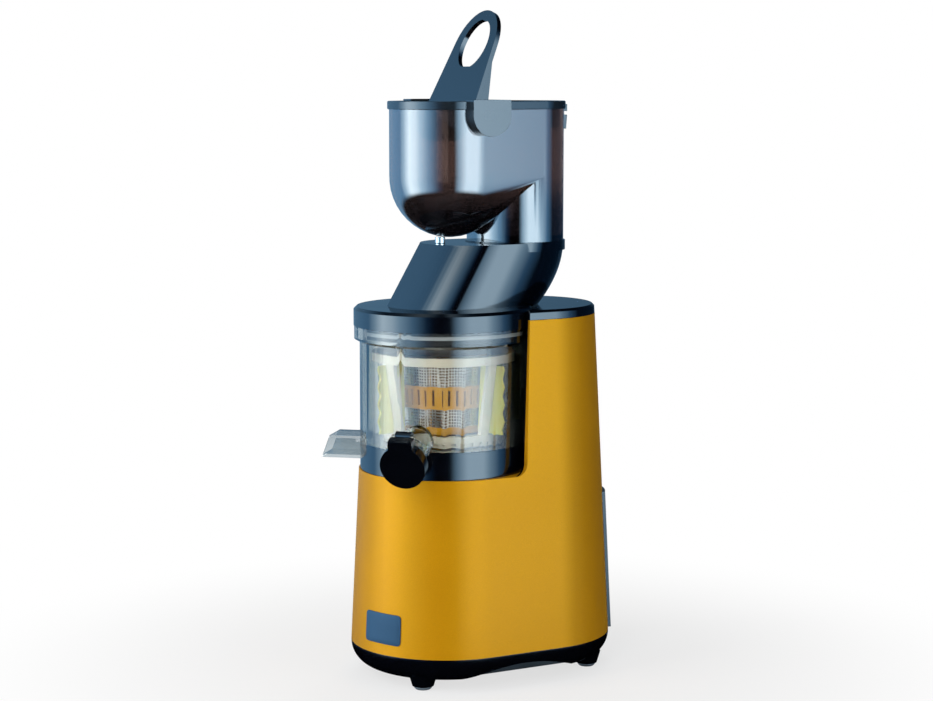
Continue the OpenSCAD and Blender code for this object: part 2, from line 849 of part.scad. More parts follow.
module control_board() {
    sink = 0.6;
    color("darkgreen") translate([0, board_y, foot_h + pan_floor + board_foot]) {
        translate([-board_w / 2, -board_l / 2, 0]) cube([board_w, board_l, board_t]);
        // relay, terminal block, heat sink and capacitor
        translate([0, 0, board_t - sink]) {
            translate([-board_w * 0.44, -board_l * 0.36, 0]) cube([19, 15, 15]);
            translate([board_w * 0.18, -board_l * 0.32, 0]) cube([16, 10, 12]);
            translate([-board_w * 0.12, board_l * 0.22, 0]) cube([28, 8, 10]);
            translate([board_w * 0.03, -board_l * 0.14, 0]) cylinder(h = 18, r = 6);
        }
    }
}

module run_capacitor() {
    end = 3;
    color("lightgray")
        translate([-capacitor_l / 2, capacitor_y, foot_h + pan_floor + capacitor_r + fit])
            rotate([0, 90, 0]) {
                cylinder(h = capacitor_l, r = capacitor_r);
                cylinder(h = capacitor_l + end, r = capacitor_r - end);
            }
}

module interlock_switch() {
    y = bowl_y + recess_r + liner_t + body_wall + 3;
    color("dimgray") translate([0, y, z_column - 12]) {
        translate([-10, 0, 0]) cube([20, 8, 12 - fit / 2]);
        translate([-8, -1.5, 2]) cube([14, 2, 1]);
        for (x = [-6, 0, 6]) translate([x - 0.5, 3, -4]) cube([1, 2, 5]);
    }
}

// ---- bowl and juicing set ----

module spout_frame() {
    translate([0, bowl_y, 0]) rotate([0, 0, juice_angle])
        translate([bowl_in, 0, spout_z]) rotate([0, spout_slope, 0])
            translate([spout_len, 0, 0]) children();
}

module spout_rod(x0, x1, r) {
    translate([x0, 0, 0]) rotate([0, 90, 0]) cylinder(h = x1 - x0, r = r);
}

module pulp_block(from, to, lip, w, z0, z1) {
    from_bowl(pulp_angle, 0) rotate([90, 0, 0]) linear_extrude(w, center = true) polygon([
        [from, z0], [to, z0], [to - lip, z1], [from, z1]
    ]);
}

module juicing_bowl() {
    bore = socket_r + run;
    hub_r = socket_r + hub_t;
    floor_z = z_seat - floor_t;
    skirt_z = z_deck + seat_floor + 1;
    sill = 0.4;
    color("lightsteelblue", 0.4) difference() {
        union() {
            translate([0, bowl_y, 0]) rotate_extrude() polygon([
                [bore, floor_z - 8], [hub_r, floor_z - 8], [hub_r, floor_z],
                [skirt_r - skirt_t, floor_z], [skirt_r - skirt_t, skirt_z],
                [skirt_r, skirt_z], [skirt_r, z_seat], [bowl_r, z_seat],
                [bowl_r, z_collar - 1.5], [collar_r, z_collar + 1], [collar_r, z_lid],
                [bowl_in, z_lid], [bowl_in, z_seat], [bore, z_seat]
            ]);
            // pin that the wiper pinion turns on
            from_bowl(pinion_angle, pinion_dist) translate([0, 0, z_seat - 1])
                cylinder(h = gear_h + 2.5, r = pinion_pin_r);
        }
        // hole for the juice, above the floor
        intersection() {
            spout_frame() spout_rod(-spout_len - 8, 1, spout_r - spout_wall);
            bowl_column(spout_reach, z_seat + sill, z_lid);
        }
        // hole for the pulp, and the pulp spout's way through the skirt
        from_bowl(pulp_angle, chute_pipe_at) translate([0, 0, floor_z - 2])
            cylinder(h = floor_t + 4, r = chute_pipe_r + clear);
        pulp_block(hub_r + 1, bowl_r, 0, pulp_w + 2 * fit, pulp_z - fit, floor_z);
        // groove of the bowl seal
        bowl_ring(socket_r, socket_r + 2, floor_z - 5, floor_z - 2);
    }
}

// spout welded to the bowl's wall, with the ears that hold the juice cap's pin
module juice_spout() {
    color("lightsteelblue", 0.4) difference() {
        spout_frame() {
            spout_rod(-spout_len - 3, 0, spout_r);
            spout_rod(-spout_bead, 0, spout_bead_r);
            for (side = [-1, 1])
                translate([pin_x, side * (strap_w / 2 - lug_t / 2), 0]) rotate([90, 0, 0])
                    translate([0, 0, -lug_t / 2]) {
                        translate([-3.5, spout_r - 4, 0]) cube([7, pin_z - spout_r + 4, lug_t]);
                        translate([0, pin_z, 0]) cylinder(h = lug_t, r = 3.5);
                    }
        }
        bowl_column(bowl_r + fit, z_deck, z_collar);
        spout_frame() {
            spout_rod(-spout_len - 8, 1, spout_r - spout_wall);
            spout_rod(-spout_len * 0.6, 1, spout_r - 2);
            translate([pin_x, strap_w, pin_z]) rotate([90, 0, 0])
                cylinder(h = 2 * strap_w, r = pin_r + run);
        }
    }
}

// channel under the bowl's floor that ends in the pulp spout
module pulp_spout() {
    hub_r = socket_r + hub_t;
    floor_z = z_seat - floor_t;
    inner_w = pulp_w - 2 * pulp_wall;
    color("lightsteelblue", 0.4) difference() {
        union() {
            pulp_block(hub_r + 1 + fit, bowl_r, 0, pulp_w, pulp_z, floor_z);
            pulp_block(bowl_r - 2, pulp_reach, pulp_lip, pulp_w, pulp_z, pulp_z + pulp_h);
        }
        bowl_column(skirt_r + fit, floor_z - fit, z_seat);
        bowl_column(bowl_r + fit, z_seat - fit, z_collar);
        pulp_block(hub_r + 1 + pulp_wall, bowl_r + 4, 0, inner_w, pulp_z + pulp_wall, floor_z + 1);
        pulp_block(bowl_r + pulp_wall, pulp_reach + 1, 0, inner_w,
            pulp_z + pulp_wall, pulp_z + pulp_h - pulp_wall);
    }
}

module bowl_seal() {
    floor_z = z_seat - floor_t;
    color("white") bowl_ring(socket_r + run, socket_r + 2, floor_z - 5, floor_z - 2);
}

module wiper_pinion() {
    color("white") from_bowl(pinion_angle, pinion_dist) translate([0, 0, gear_z]) difference() {
        rotate([0, 0, 180 + 180 / pinion_teeth]) gear(pinion_teeth, set_module, gear_h);
        translate([0, 0, -1]) cylinder(h = gear_h + 2, r = pinion_pin_r + run);
    }
}

module strainer_basket() {
    top_ring = 4;
    foot_ring = 6;
    color("darkorange") difference() {
        union() {
            // foot with its plate, band and top ring
            cone_shell(strainer_z, strainer_z + foot_ring, 0, strainer_wall);
            cone_shell(band_z, band_z + band_h, -0.6, strainer_wall + 0.6);
            cone_shell(strainer_top - top_ring, strainer_top, 0, strainer_wall);
            bowl_ring(auger_neck_r + 2, strainer_foot_r - 0.5, strainer_z, strainer_z + strainer_plate);
            // ribs behind the screens
            for (a = [0:60:300]) from_bowl(a + 15, 0) rotate([90, 0, 0])
                linear_extrude(2, center = true) polygon([
                    [strainer_r(strainer_z) - screen_t - 1.6, strainer_z],
                    [strainer_r(strainer_z) - screen_t - fit, strainer_z],
                    [strainer_r(strainer_top) - screen_t - fit, strainer_top],
                    [strainer_r(strainer_top) - screen_t - 1.6, strainer_top]
                ]);
            // pipe that leads the pulp through the gear space, and two legs
            from_bowl(pulp_angle, chute_pipe_at) translate([0, 0, z_seat - 2])
                cylinder(h = strainer_z - z_seat + 3, r = chute_pipe_r);
            for (side = [-100, 100]) from_bowl(pinion_angle + side, chute_pipe_at)
                translate([0, 0, z_seat]) cylinder(h = strainer_z - z_seat + 1, r = leg_r);
        }
        from_bowl(pulp_angle, chute_pipe_at) translate([0, 0, z_seat - 5])
            cylinder(h = 30, r = chute_hole_r);
        // slots of the band
        for (i = [0:band_slots - 1]) from_bowl(360 / band_slots * i, strainer_foot_r - 6)
            translate([0, -0.9, band_z + 3]) cube([20, 1.8, band_h - 6]);
    }
}

// conical ring that follows the strainer's side; inset moves its outer face inwards
module cone_shell(z0, z1, inset, t) {
    translate([0, bowl_y, 0]) rotate_extrude() polygon([
        [strainer_r(z0) - inset - t, z0], [strainer_r(z0) - inset, z0],
        [strainer_r(z1) - inset, z1], [strainer_r(z1) - inset - t, z1]
    ]);
}

module strainer_screen() {
    color("silver") {
        cone_shell(strainer_z + 6, band_z, 0, screen_t);
        cone_shell(band_z + band_h, strainer_top - 4, 0, screen_t);
    }
}

module wiper_frame() {
    foot_top = gear_z + wiper_foot_h;
    color("beige") difference() {
        union() {
            bowl_ring(wiper_r - wiper_top_t, wiper_r, wiper_top_z, wiper_top_z + wiper_top_h);
            translate([0, bowl_y, 0]) rotate_extrude() polygon([
                [set_module * ring_teeth / 2 - 2, gear_z], [wiper_foot_r, gear_z],
                [wiper_foot_r + 1.2, foot_top], [set_module * ring_teeth / 2 - 2, foot_top]
            ]);
            for (i = [0:wiper_arms - 1]) from_bowl(arm_first + i * 360 / wiper_arms, 0)
                rotate([90, 0, 0]) linear_extrude(arm_w, center = true) polygon([
                    [wiper_foot_r - 4, foot_top - 1], [wiper_foot_r, foot_top - 1],
                    [wiper_r - 0.5, wiper_top_z + 1], [wiper_r - wiper_top_t + 0.3, wiper_top_z + 1]
                ]);
        }
        // inner teeth
        translate([0, bowl_y, gear_z - 1]) rotate([0, 0, pinion_angle + 180 / ring_teeth])
            linear_extrude(wiper_foot_h + 2)
                polygon(gear_points(ring_teeth, set_module, 1.2, 0.85, -gear_backlash));
        // castle edge round the foot
        for (i = [0:castle_count - 1]) from_bowl(360 / castle_count * i, wiper_foot_r - 2)
            translate([0, -1.8, gear_z - 1]) cube([6, 3.6, castle_h + 1]);
    }
}

// soft blade beside each arm, reaching from the strainer to the bowl wall, its outer edge waved;
// the blades stand on alternate sides of the arms
module wiper_blades() {
    z0 = gear_z + wiper_foot_h + 1;
    z1 = wiper_top_z - 1;
    steps = 16;
    wave = 1.2;
    levels = [for (k = [0:steps]) z0 + (z1 - z0) * k / steps];
    color("khaki") for (i = [0:wiper_arms - 1])
        from_bowl(arm_first + i * 360 / wiper_arms, 0)
            translate([0, (i % 2 == 0 ? 1 : -1) * (arm_w / 2 + blade_t / 2 + fit), 0]) rotate([90, 0, 0])
                linear_extrude(blade_t, center = true) polygon(concat(
                    [for (z = levels) [strainer_r(z) + 0.6 + blade_gap, z]],
                    [for (k = [steps:-1:0])
                        [bowl_in - blade_gap - 0.4 - wave * (1 + sin(k * 90)), levels[k]]]
                ));
}

module auger() {
    core = [
        [0, auger_z], [strainer_r(auger_z) - 8, auger_z], [strainer_r(auger_z) - 9, auger_z + 16],
        [14, auger_z + strainer_h * 0.62], [11, auger_top - 4], [8, auger_top], [0, auger_top]
    ];
    color("ivory") translate([0, bowl_y, 0]) difference() {
        union() {
            rotate_extrude() polygon(core);
            translate([0, 0, auger_top - 1])
                cylinder(h = bush_z + bush_h - auger_top, r = auger_pin_r);
            translate([0, 0, gear_z + gear_h + 0.5])
                cylinder(h = auger_z - gear_z - gear_h, r = auger_neck_r);
            translate([0, 0, gear_z]) rotate([0, 0, pinion_angle])
                gear(auger_teeth, set_module, gear_h + 1);
            for (start = [0, 180]) rotate([0, 0, start]) auger_flight();
        }
        translate([0, 0, gear_z - 1]) cylinder(h = 26, r = socket_r + fit / 2);
    }
}

// one screw thread, thick at the foot and fine at the top
module auger_flight() {
    steps = 44;
    z0 = auger_z + 3;
    z1 = auger_top - 7;
    turn = 360 * (z1 - z0) / auger_lead;
    loft([for (k = [0:steps]) let (
        z = z0 + (z1 - z0) * k / steps,
        a = -turn * k / steps,
        out = strainer_r(z) - strainer_wall - 0.6 - auger_gap,
        t = 2.8 - 1.3 * k / steps,
        tip = 1.1
    ) [for (p = [[9, -t], [out, -tip], [out, tip], [9, t]])
        [p[0] * cos(a), p[0] * sin(a), z + p[1]]]]);
}

module auger_socket() {
    z0 = z_seat - floor_t - 10;
    color("silver") translate([0, bowl_y, z0]) difference() {
        cylinder(h = gear_z + 24 - z0, r = socket_r);
        translate([0, 0, -1]) cylinder(h = hex_top + 2.5 - z0, r = hex_r + 0.25, $fn = 6);
    }
}

module juice_cap() {
    color("black") spout_frame() difference() {
        union() {
            spout_rod(-cap_skirt, clear + cap_t, cap_r);
            translate([clear, -strap_w / 2, 10]) cube([cap_t, strap_w, pin_z - 10 + 1.5]);
            translate([-cap_skirt, -strap_w / 2, pin_z - 1.5])
                cube([cap_skirt + clear + cap_t, strap_w, strap_t]);
            eye_w = strap_w - 2 * lug_t - 1;
            translate([pin_x, -eye_w / 2, pin_z - 1.5]) cube([-pin_x, eye_w, strap_t]);
            translate([pin_x, eye_w / 2, pin_z]) rotate([90, 0, 0]) cylinder(h = eye_w, r = 3.6);
        }
        spout_rod(-cap_skirt - 1, clear, spout_bead_r + cap_gap_r);
        translate([pin_x, strap_w, pin_z]) rotate([90, 0, 0]) cylinder(h = 2 * strap_w, r = pin_r + run);
    }
}

module juice_cap_pin() {
    color("silver") spout_frame() translate([pin_x, strap_w / 2, pin_z]) rotate([90, 0, 0])
        cylinder(h = strap_w, r = pin_r);
}

// ---- lid, elbow, hopper ----

// ring of points round a stadium that lies along Y
function stadium(front, rear, r, z) = [for (i = [0:63]) let (a = (i + 0.5) * 360 / 64)
    [r * cos(a), (a < 180 ? rear : front) + r * sin(a), z]];

// the elbow's run: k goes from 0 at the lid to 1 at the top
function rear_at(k, from, to) = from + (to - from) * (1 - (1 - k) * (1 - k));

module lid() {
    z0 = z_lid_top - elbow_sink;
    color("black") translate([0, bowl_y, 0]) difference() {
        union() {
            rotate_extrude() polygon([
                [throat_r, strainer_top + 2], [throat_r + throat_t, strainer_top + 2],
                [throat_r + throat_t, z_lid_top - lid_plate],
                [spigot_r - spigot_t, z_lid_top - lid_plate], [spigot_r - spigot_t, z_lid - spigot_h],
                [spigot_r, z_lid - spigot_h], [spigot_r, z_lid - seal_h * 2],
                [spigot_r - seal_d, z_lid - seal_h * 2], [spigot_r - seal_d, z_lid - seal_h],
                [spigot_r, z_lid - seal_h], [spigot_r, z_lid], [lid_r, z_lid],
                [lid_r, z_lid_top - lid_edge], [lid_r - lid_edge, z_lid_top], [throat_r, z_lid_top]
            ]);
            difference() {
                union() {
                    loft([for (i = [0:elbow_steps]) let (k = i / elbow_steps) stadium(
                        elbow_front0 + (elbow_front1 - elbow_front0) * k,
                        rear_at(k, elbow_rear0, chute_back), chute_r, z0 + (z_elbow - z0) * k)]);
                    translate([0, chute_back, z_elbow - 7]) cylinder(h = 8, r = chute_r + 1.5);
                }
                loft([for (i = [0:elbow_steps]) let (k = i / elbow_steps) stadium(
                    elbow_front1 * k, rear_at(k, 0, chute_back),
                    throat_r - 0.2 + (mouth_r - 0.3 - throat_r) * k,
                    z0 - 0.5 + (z_elbow - elbow_wall - z0 + 0.5) * k)]);
                translate([0, chute_back, z_elbow - mouth_h - 1]) cylinder(h = 40, r = mouth_r);
            }
            // hub and arms that hold the auger's top bush
            translate([0, 0, bush_z]) cylinder(h = bush_h + 3, r = bush_r + bush_hub);
            translate([-throat_r - 1, -bush_arm / 2, bush_z + 2])
                cube([2 * throat_r + 2, bush_arm, bush_h]);
        }
        translate([0, 0, bush_z - 1]) cylinder(h = bush_h + 1, r = bush_r + fit / 2);
    }
}

module lid_seal() {
    color("white") bowl_ring(spigot_r - seal_d, bowl_in - run, z_lid - seal_h * 2, z_lid - seal_h);
}

module lid_bush() {
    color("white") bowl_ring(auger_pin_r + run, bush_r, bush_z, bush_z + bush_h);
}

module support_post() {
    top = hopper_zc - hopper_r + 0.2;
    color("black") translate([0, post_y, z_elbow]) cylinder(h = top - z_elbow, r = post_r);
}

// two circles on the Y axis, joined by flat sides that lie just inside their common tangents
module egg(r0, y0, r1, y1) {
    a = asin((r0 - r1) / (y1 - y0));
    f0 = r0 - flat_in;
    f1 = r1 - flat_in;
    translate([0, y0]) circle(r0);
    translate([0, y1]) circle(r1);
    polygon([
        [-f0 * cos(a), y0 + f0 * sin(a)], [f0 * cos(a), y0 + f0 * sin(a)],
        [f1 * cos(a), y1 + f1 * sin(a)], [-f1 * cos(a), y1 + f1 * sin(a)]
    ]);
}

// the hopper's outline seen from above, moved outwards by out
module hopper_outline(out) {
    egg(hopper_r + out, hopper_front_y, chute_r + out, chute_y);
}

module hopper_plan(out, z0, z1) {
    translate([0, 0, z0]) linear_extrude(z1 - z0) hopper_outline(out);
}

// the hopper's pocket as a solid: a round bottom that runs into the feed tube, and upright sides
module pocket(out, top) {
    hopper_plan(out, hopper_zc, top);
    hull() {
        translate([0, hopper_front_y, hopper_zc]) sphere(hopper_r + out, $fn = 44);
        translate([0, chute_y, hopper_zc]) cylinder(h = 1, r = chute_r + out, $fn = 44);
    }
}

module hopper() {
    z_wall = z_rim - rim_h;
    spigot_in = mouth_r - clear - 2.5;
    color("slategray", 0.6) difference() {
        union() {
            pocket(0, z_wall);
            translate([0, chute_y, z_elbow + 1]) cylinder(h = hopper_zc - z_elbow, r = chute_r);
            translate([0, chute_y, z_elbow + 1 - mouth_h])
                cylinder(h = mouth_h + 1, r = mouth_r - clear);
        }
        pocket(-chute_wall, z_wall + 1);
        translate([0, chute_y, 0]) rotate_extrude() polygon([
            [0, z_elbow - mouth_h - 1], [spigot_in, z_elbow - mouth_h - 1],
            [spigot_in, z_elbow + 1], [chute_r - chute_wall, z_elbow + 7],
            [chute_r - chute_wall, hopper_zc + 3], [0, hopper_zc + 3]
        ]);
        translate([-hopper_r - 5, gate_y, gate_z]) rotate([0, 90, 0])
            cylinder(h = 2 * hopper_r + 10, r = gate_pin_r + fit);
    }
}

module hopper_rim() {
    color("slategray") translate([0, 0, z_rim - rim_h]) linear_extrude(rim_h) difference() {
        hopper_outline(rim_out);
        hopper_outline(-chute_wall);
    }
}

module pivot_covers() {
    color("slategray") difference() {
        for (side = [0, 180]) translate([0, gate_y, gate_z]) rotate([0, 0, side])
            translate([hopper_r - 5, 0, 0]) rotate([90, 0, 90]) linear_extrude(ear_out + 5)
                intersection() {
                    union() {
                        circle(ear_r);
                        translate([-ear_r, 0]) square([2 * ear_r, ear_r]);
                    }
                    translate([-ear_r, -ear_r]) square([2 * ear_r, ear_r + z_rim - gate_z]);
                }
        hopper_plan(fit, hopper_zc, z_rim + 5);
        hopper_plan(rim_out + fit, z_rim - rim_h - fit, z_rim + 5);
        translate([-hopper_r - ear_out + ear_wall, gate_y, gate_z]) rotate([0, 90, 0])
            cylinder(h = 2 * (hopper_r + ear_out - ear_wall), r = gate_pin_r + fit);
    }
}

module gate_pins() {
    len = hopper_r + ear_out - ear_wall - gate_half + cheek_t;
    color("silver") for (side = [0, 180]) translate([0, gate_y, gate_z]) rotate([0, 0, side])
        translate([gate_half - cheek_t - fit, 0, 0]) rotate([0, 90, 0])
            cylinder(h = len, r = gate_pin_r);
}

module rear_clip() {
    y = chute_y + chute_r;
    color("slategray") difference() {
        rotate([90, 0, 90]) linear_extrude(clip_w, center = true) polygon([
            [y - 3, z_rim - 22], [y + clip_out - 1, z_rim - 24], [y + clip_out, z_rim - 12],
            [y + 3, z_rim - 12], [y + 3, z_rim - 9], [y + clip_out, z_rim - 9],
            [y + clip_out, z_rim - 3], [y - 3, z_rim - 3]
        ]);
        hopper_plan(fit, hopper_zc, z_rim + 5);
        hopper_plan(rim_out + fit, z_rim - rim_h - fit, z_rim + 5);
    }
}

module gate_outline() {
    foot_half = gate_half * cos(gate_taper);
    difference() {
        union() {
            intersection() {
                egg(gate_half, 0, gate_end_r, gate_arc_s);
                translate([-gate_half, gate_half * sin(gate_taper)])
                    square([2 * gate_half, gate_len]);
            }
            translate([-foot_half, gate_round - gate_drop])
                square([2 * foot_half, gate_drop - gate_round + gate_half * sin(gate_taper)]);
            for (side = [-1, 1]) translate([side * (foot_half - gate_round), gate_round - gate_drop])
                circle(gate_round);
            translate([gate_round - foot_half, -gate_drop])
                square([2 * (foot_half - gate_round), gate_drop]);
        }
        intersection() {
            translate([0, finger_s]) circle(finger_r);
            translate([-finger_r, finger_s - finger_r + 1.5]) square(2 * finger_r);
        }
    }
}

module flip_gate() {
    color("black") translate([0, gate_y, gate_z]) rotate([-gate_lean, 0, 0]) difference() {
        union() {
            translate([0, -gate_offset, 0]) rotate([90, 0, 0]) linear_extrude(gate_t) gate_outline();
            // cheeks that follow the tapered sides
            for (side = [0, 1]) mirror([side, 0, 0])
                translate([gate_half - cheek_t - 0.5, 0, 0]) rotate([0, -gate_taper, 0])
                    rotate([90, 0, 90]) linear_extrude(cheek_t) {
                        polygon([
                            [-gate_offset - 0.5, -cheek_back], [0, -cheek_back - 1],
                            [cheek_back, -2], [cheek_back, 3], [-gate_offset - 0.5, cheek_len]
                        ]);
                        circle(cheek_back + 1);
                    }
        }
        translate([-hopper_r, 0, 0]) rotate([0, 90, 0])
            cylinder(h = 2 * hopper_r, r = gate_pin_r + run);
    }
}

placed() housing();
placed() bottom_pan();
placed() rubber_feet();
placed() top_cap();
placed() recess_liner();
placed() bowl_seat();
placed() rear_panel();
placed() switch_frame();
placed() rocker_switch();
placed() cord_gland();
placed() housing_screws();
placed() motor_can();
placed() motor_stator();
placed() motor_rotor();
placed() motor_fan();
placed() gearbox_base();
placed() gearbox_cover();
placed() gearbox_screws();
placed() gear_axle();
placed() step_gear();
placed() output_gear();
placed() drive_shaft();
placed() shaft_bushes();
placed() shaft_seal();
placed() control_board();
placed() run_capacitor();
placed() interlock_switch();
placed() juicing_bowl();
placed() juice_spout();
placed() pulp_spout();
placed() bowl_seal();
placed() wiper_pinion();
placed() strainer_basket();
placed() strainer_screen();
placed() wiper_frame();
placed() wiper_blades();
placed() auger();
placed() auger_socket();
placed() juice_cap();
placed() juice_cap_pin();
placed() lid();
placed() lid_seal();
placed() lid_bush();
placed() support_post();
placed() hopper();
placed() hopper_rim();
placed() pivot_covers();
placed() gate_pins();
placed() rear_clip();
placed() flip_gate();
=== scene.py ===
import json
import math

import bpy
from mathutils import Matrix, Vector

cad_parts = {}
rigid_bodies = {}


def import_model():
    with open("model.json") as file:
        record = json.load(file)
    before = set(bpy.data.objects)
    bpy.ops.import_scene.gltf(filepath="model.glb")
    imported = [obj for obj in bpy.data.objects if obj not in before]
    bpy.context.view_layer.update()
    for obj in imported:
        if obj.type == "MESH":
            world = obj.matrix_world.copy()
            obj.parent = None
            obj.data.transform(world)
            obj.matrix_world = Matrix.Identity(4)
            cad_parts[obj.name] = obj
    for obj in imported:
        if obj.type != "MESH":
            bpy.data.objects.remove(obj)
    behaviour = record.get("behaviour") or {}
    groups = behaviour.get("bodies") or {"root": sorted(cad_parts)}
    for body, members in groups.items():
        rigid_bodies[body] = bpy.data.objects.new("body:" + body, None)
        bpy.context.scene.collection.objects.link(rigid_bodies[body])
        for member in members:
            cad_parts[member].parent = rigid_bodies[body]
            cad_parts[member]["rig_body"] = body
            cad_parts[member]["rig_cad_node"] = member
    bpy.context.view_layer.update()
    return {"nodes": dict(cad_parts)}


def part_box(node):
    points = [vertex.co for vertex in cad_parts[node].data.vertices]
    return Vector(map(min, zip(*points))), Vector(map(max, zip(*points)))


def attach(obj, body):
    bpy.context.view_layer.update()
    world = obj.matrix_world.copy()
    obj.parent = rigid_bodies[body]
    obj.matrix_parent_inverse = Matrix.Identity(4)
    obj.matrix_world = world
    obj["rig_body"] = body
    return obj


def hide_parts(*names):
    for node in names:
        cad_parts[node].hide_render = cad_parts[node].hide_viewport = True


bl_info = {
    "name": "Cold Press Juicer Finish",
    "version": (1, 1, 0),
    "blender": (4, 5, 0),
    "location": "View3D > Sidebar > Juicer",
    "description": "Dresses the cold press juicer's frame with finished surfaces, a stage and a camera",
    "category": "Object",
}

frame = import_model()
NODES = frame["nodes"]


class JuicerSizes(bpy.types.PropertyGroup):
    """Sizes that shape the finished pieces."""

    body_round: bpy.props.FloatProperty(
        name="Body round", description="Rounding of the painted body's edges", default=0.0016, unit="LENGTH"
    )
    trim_round: bpy.props.FloatProperty(
        name="Trim round", description="Rounding of black and smoked mouldings", default=0.001, unit="LENGTH"
    )
    fine_round: bpy.props.FloatProperty(
        name="Fine round", description="Rounding of small parts", default=0.0004, unit="LENGTH"
    )
    mesh_columns: bpy.props.IntProperty(
        name="Mesh columns", description="Holes in one row round the strainer", default=104
    )
    mesh_pitch: bpy.props.FloatProperty(
        name="Mesh pitch", description="Height of one row of strainer holes", default=0.0024, unit="LENGTH"
    )
    sheet: bpy.props.FloatProperty(
        name="Sheet", description="Thickness of the strainer's steel sheet", default=0.0004, unit="LENGTH"
    )


class JuicerColours(bpy.types.PropertyGroup):
    """Colours of the finishes."""

    gold: bpy.props.FloatVectorProperty(
        name="Gold", description="Pearl paint of the body", subtype="COLOR", default=(0.66, 0.300, 0.006)
    )
    gold_shade: bpy.props.FloatVectorProperty(
        name="Gold shade", description="Darker flakes of the pearl paint", subtype="COLOR",
        default=(0.58, 0.262, 0.005)
    )
    black: bpy.props.FloatVectorProperty(
        name="Black", description="Gloss black plastic", subtype="COLOR", default=(0.0015, 0.002, 0.004)
    )
    black_sheen: bpy.props.FloatVectorProperty(
        name="Black sheen", description="Cool tint of the black's reflections", subtype="COLOR",
        default=(0.88, 0.95, 1.0)
    )
    smoke: bpy.props.FloatVectorProperty(
        name="Smoke", description="Smoked clear plastic of the hopper", subtype="COLOR",
        default=(0.15, 0.11, 0.10)
    )
    # painted shade: a darker tint low in the hopper, which is otherwise the same smoked plastic
    painted_low_shade: bpy.props.FloatVectorProperty(
        name="Painted low shade", description="Painted shade low in the hopper", subtype="COLOR",
        default=(0.035, 0.03, 0.035)
    )
    bowl: bpy.props.FloatVectorProperty(
        name="Bowl", description="Clear plastic of the bowl", subtype="COLOR", default=(0.88, 0.89, 0.86)
    )
    collar: bpy.props.FloatVectorProperty(
        name="Collar", description="Smokier plastic of the bowl's collar and pulp spout", subtype="COLOR",
        default=(0.50, 0.54, 0.54)
    )
    # painted shade: the bowl's deeper tint where it is seen edge on, only partly from its longer path through
    # the plastic
    bowl_edge_painted_shade: bpy.props.FloatVectorProperty(
        name="Bowl edge", description="Painted shade, over a little deeper tint of the plastic, where it is seen edge on", subtype="COLOR",
        default=(0.17, 0.20, 0.19)
    )
    plate: bpy.props.FloatVectorProperty(
        name="Plate", description="Blue of the plain plate on the front", subtype="COLOR",
        default=(0.035, 0.095, 0.18)
    )
    amber: bpy.props.FloatVectorProperty(
        name="Amber", description="Clear amber plastic of the strainer", subtype="COLOR",
        default=(0.74, 0.38, 0.025)
    )


class JuicerCamera(bpy.types.PropertyGroup):
    """Where the camera stands and how it looks."""

    azimuth: bpy.props.FloatProperty(
        name="Azimuth", description="Turn of the camera round the juicer, from the front", subtype="ANGLE",
        default=math.radians(61.7),
    )
    distance: bpy.props.FloatProperty(
        name="Distance", description="Distance from the middle of the base", default=1.8514, unit="LENGTH"
    )
    height: bpy.props.FloatProperty(
        name="Height", description="Height above the table", default=0.4986, unit="LENGTH"
    )
    side: bpy.props.FloatProperty(
        name="Side step", description="Step to the camera's right", default=-0.0123, unit="LENGTH"
    )
    pitch: bpy.props.FloatProperty(
        name="Pitch", description="How far the camera looks down", default=math.radians(6.96), subtype="ANGLE"
    )
    lens: bpy.props.FloatProperty(
        name="Lens", description="Focal length in millimetres on a 36 mm sensor", default=84.9
    )


# ---- node groups ----


def group_shell(name, inputs, outputs):
    """An empty node group with named sockets, and its two end nodes."""
    tree = bpy.data.node_groups.new(name, "ShaderNodeTree")
    for label, kind, value in inputs:
        socket = tree.interface.new_socket(name=label, in_out="INPUT", socket_type="NodeSocket" + kind)
        socket.default_value = value
    for label, kind in outputs:
        tree.interface.new_socket(name=label, in_out="OUTPUT", socket_type="NodeSocket" + kind)
    return tree, tree.nodes.new("NodeGroupInput"), tree.nodes.new("NodeGroupOutput")


def noise(tree, scale_from, detail, stretch=(1, 1, 1)):
    """Noise over the piece's own coordinates, its scale taken from a socket."""
    place = tree.nodes.new("ShaderNodeTexCoord")
    mapping = tree.nodes.new("ShaderNodeMapping")
    mapping.inputs["Scale"].default_value = stretch
    tree.links.new(place.outputs["Object"], mapping.inputs["Vector"])
    tex = tree.nodes.new("ShaderNodeTexNoise")
    tex.inputs["Detail"].default_value = detail
    tree.links.new(mapping.outputs["Vector"], tex.inputs["Vector"])
    tree.links.new(scale_from, tex.inputs["Scale"])
    return tex


def remap(tree, value, low, high, to_low, to_high):
    """A smooth step from one range of values to another."""
    node = tree.nodes.new("ShaderNodeMapRange")
    node.interpolation_type = "SMOOTHSTEP"
    for label, v in (("From Min", low), ("From Max", high), ("To Min", to_low), ("To Max", to_high)):
        node.inputs[label].default_value = v
    tree.links.new(value, node.inputs["Value"])
    return node


# the part of a noise's range that is stretched over all of the effect
SMUDGE_RANGE = (0.35, 0.7)
PATCH_RANGE = (0.3, 0.7)
FLECK_RANGE = (0.35, 0.65)


def handling_group():
    """Roughness that varies with handling: large faint smudges."""
    tree, start, end = group_shell(
        "handling",
        (("Roughness", "Float", 0.3), ("Amount", "Float", 0.05), ("Scale", "Float", 18.0)),
        (("Roughness", "Float"),),
    )
    large = noise(tree, start.outputs["Scale"], 4.0)
    spread = remap(tree, large.outputs["Fac"], *SMUDGE_RANGE, -0.5, 1.0)
    amount = tree.nodes.new("ShaderNodeMath")
    amount.operation = "MULTIPLY_ADD"
    tree.links.new(spread.outputs["Result"], amount.inputs[0])
    tree.links.new(start.outputs["Amount"], amount.inputs[1])
    tree.links.new(start.outputs["Roughness"], amount.inputs[2])
    tree.links.new(amount.outputs[0], end.inputs["Roughness"])
    return tree


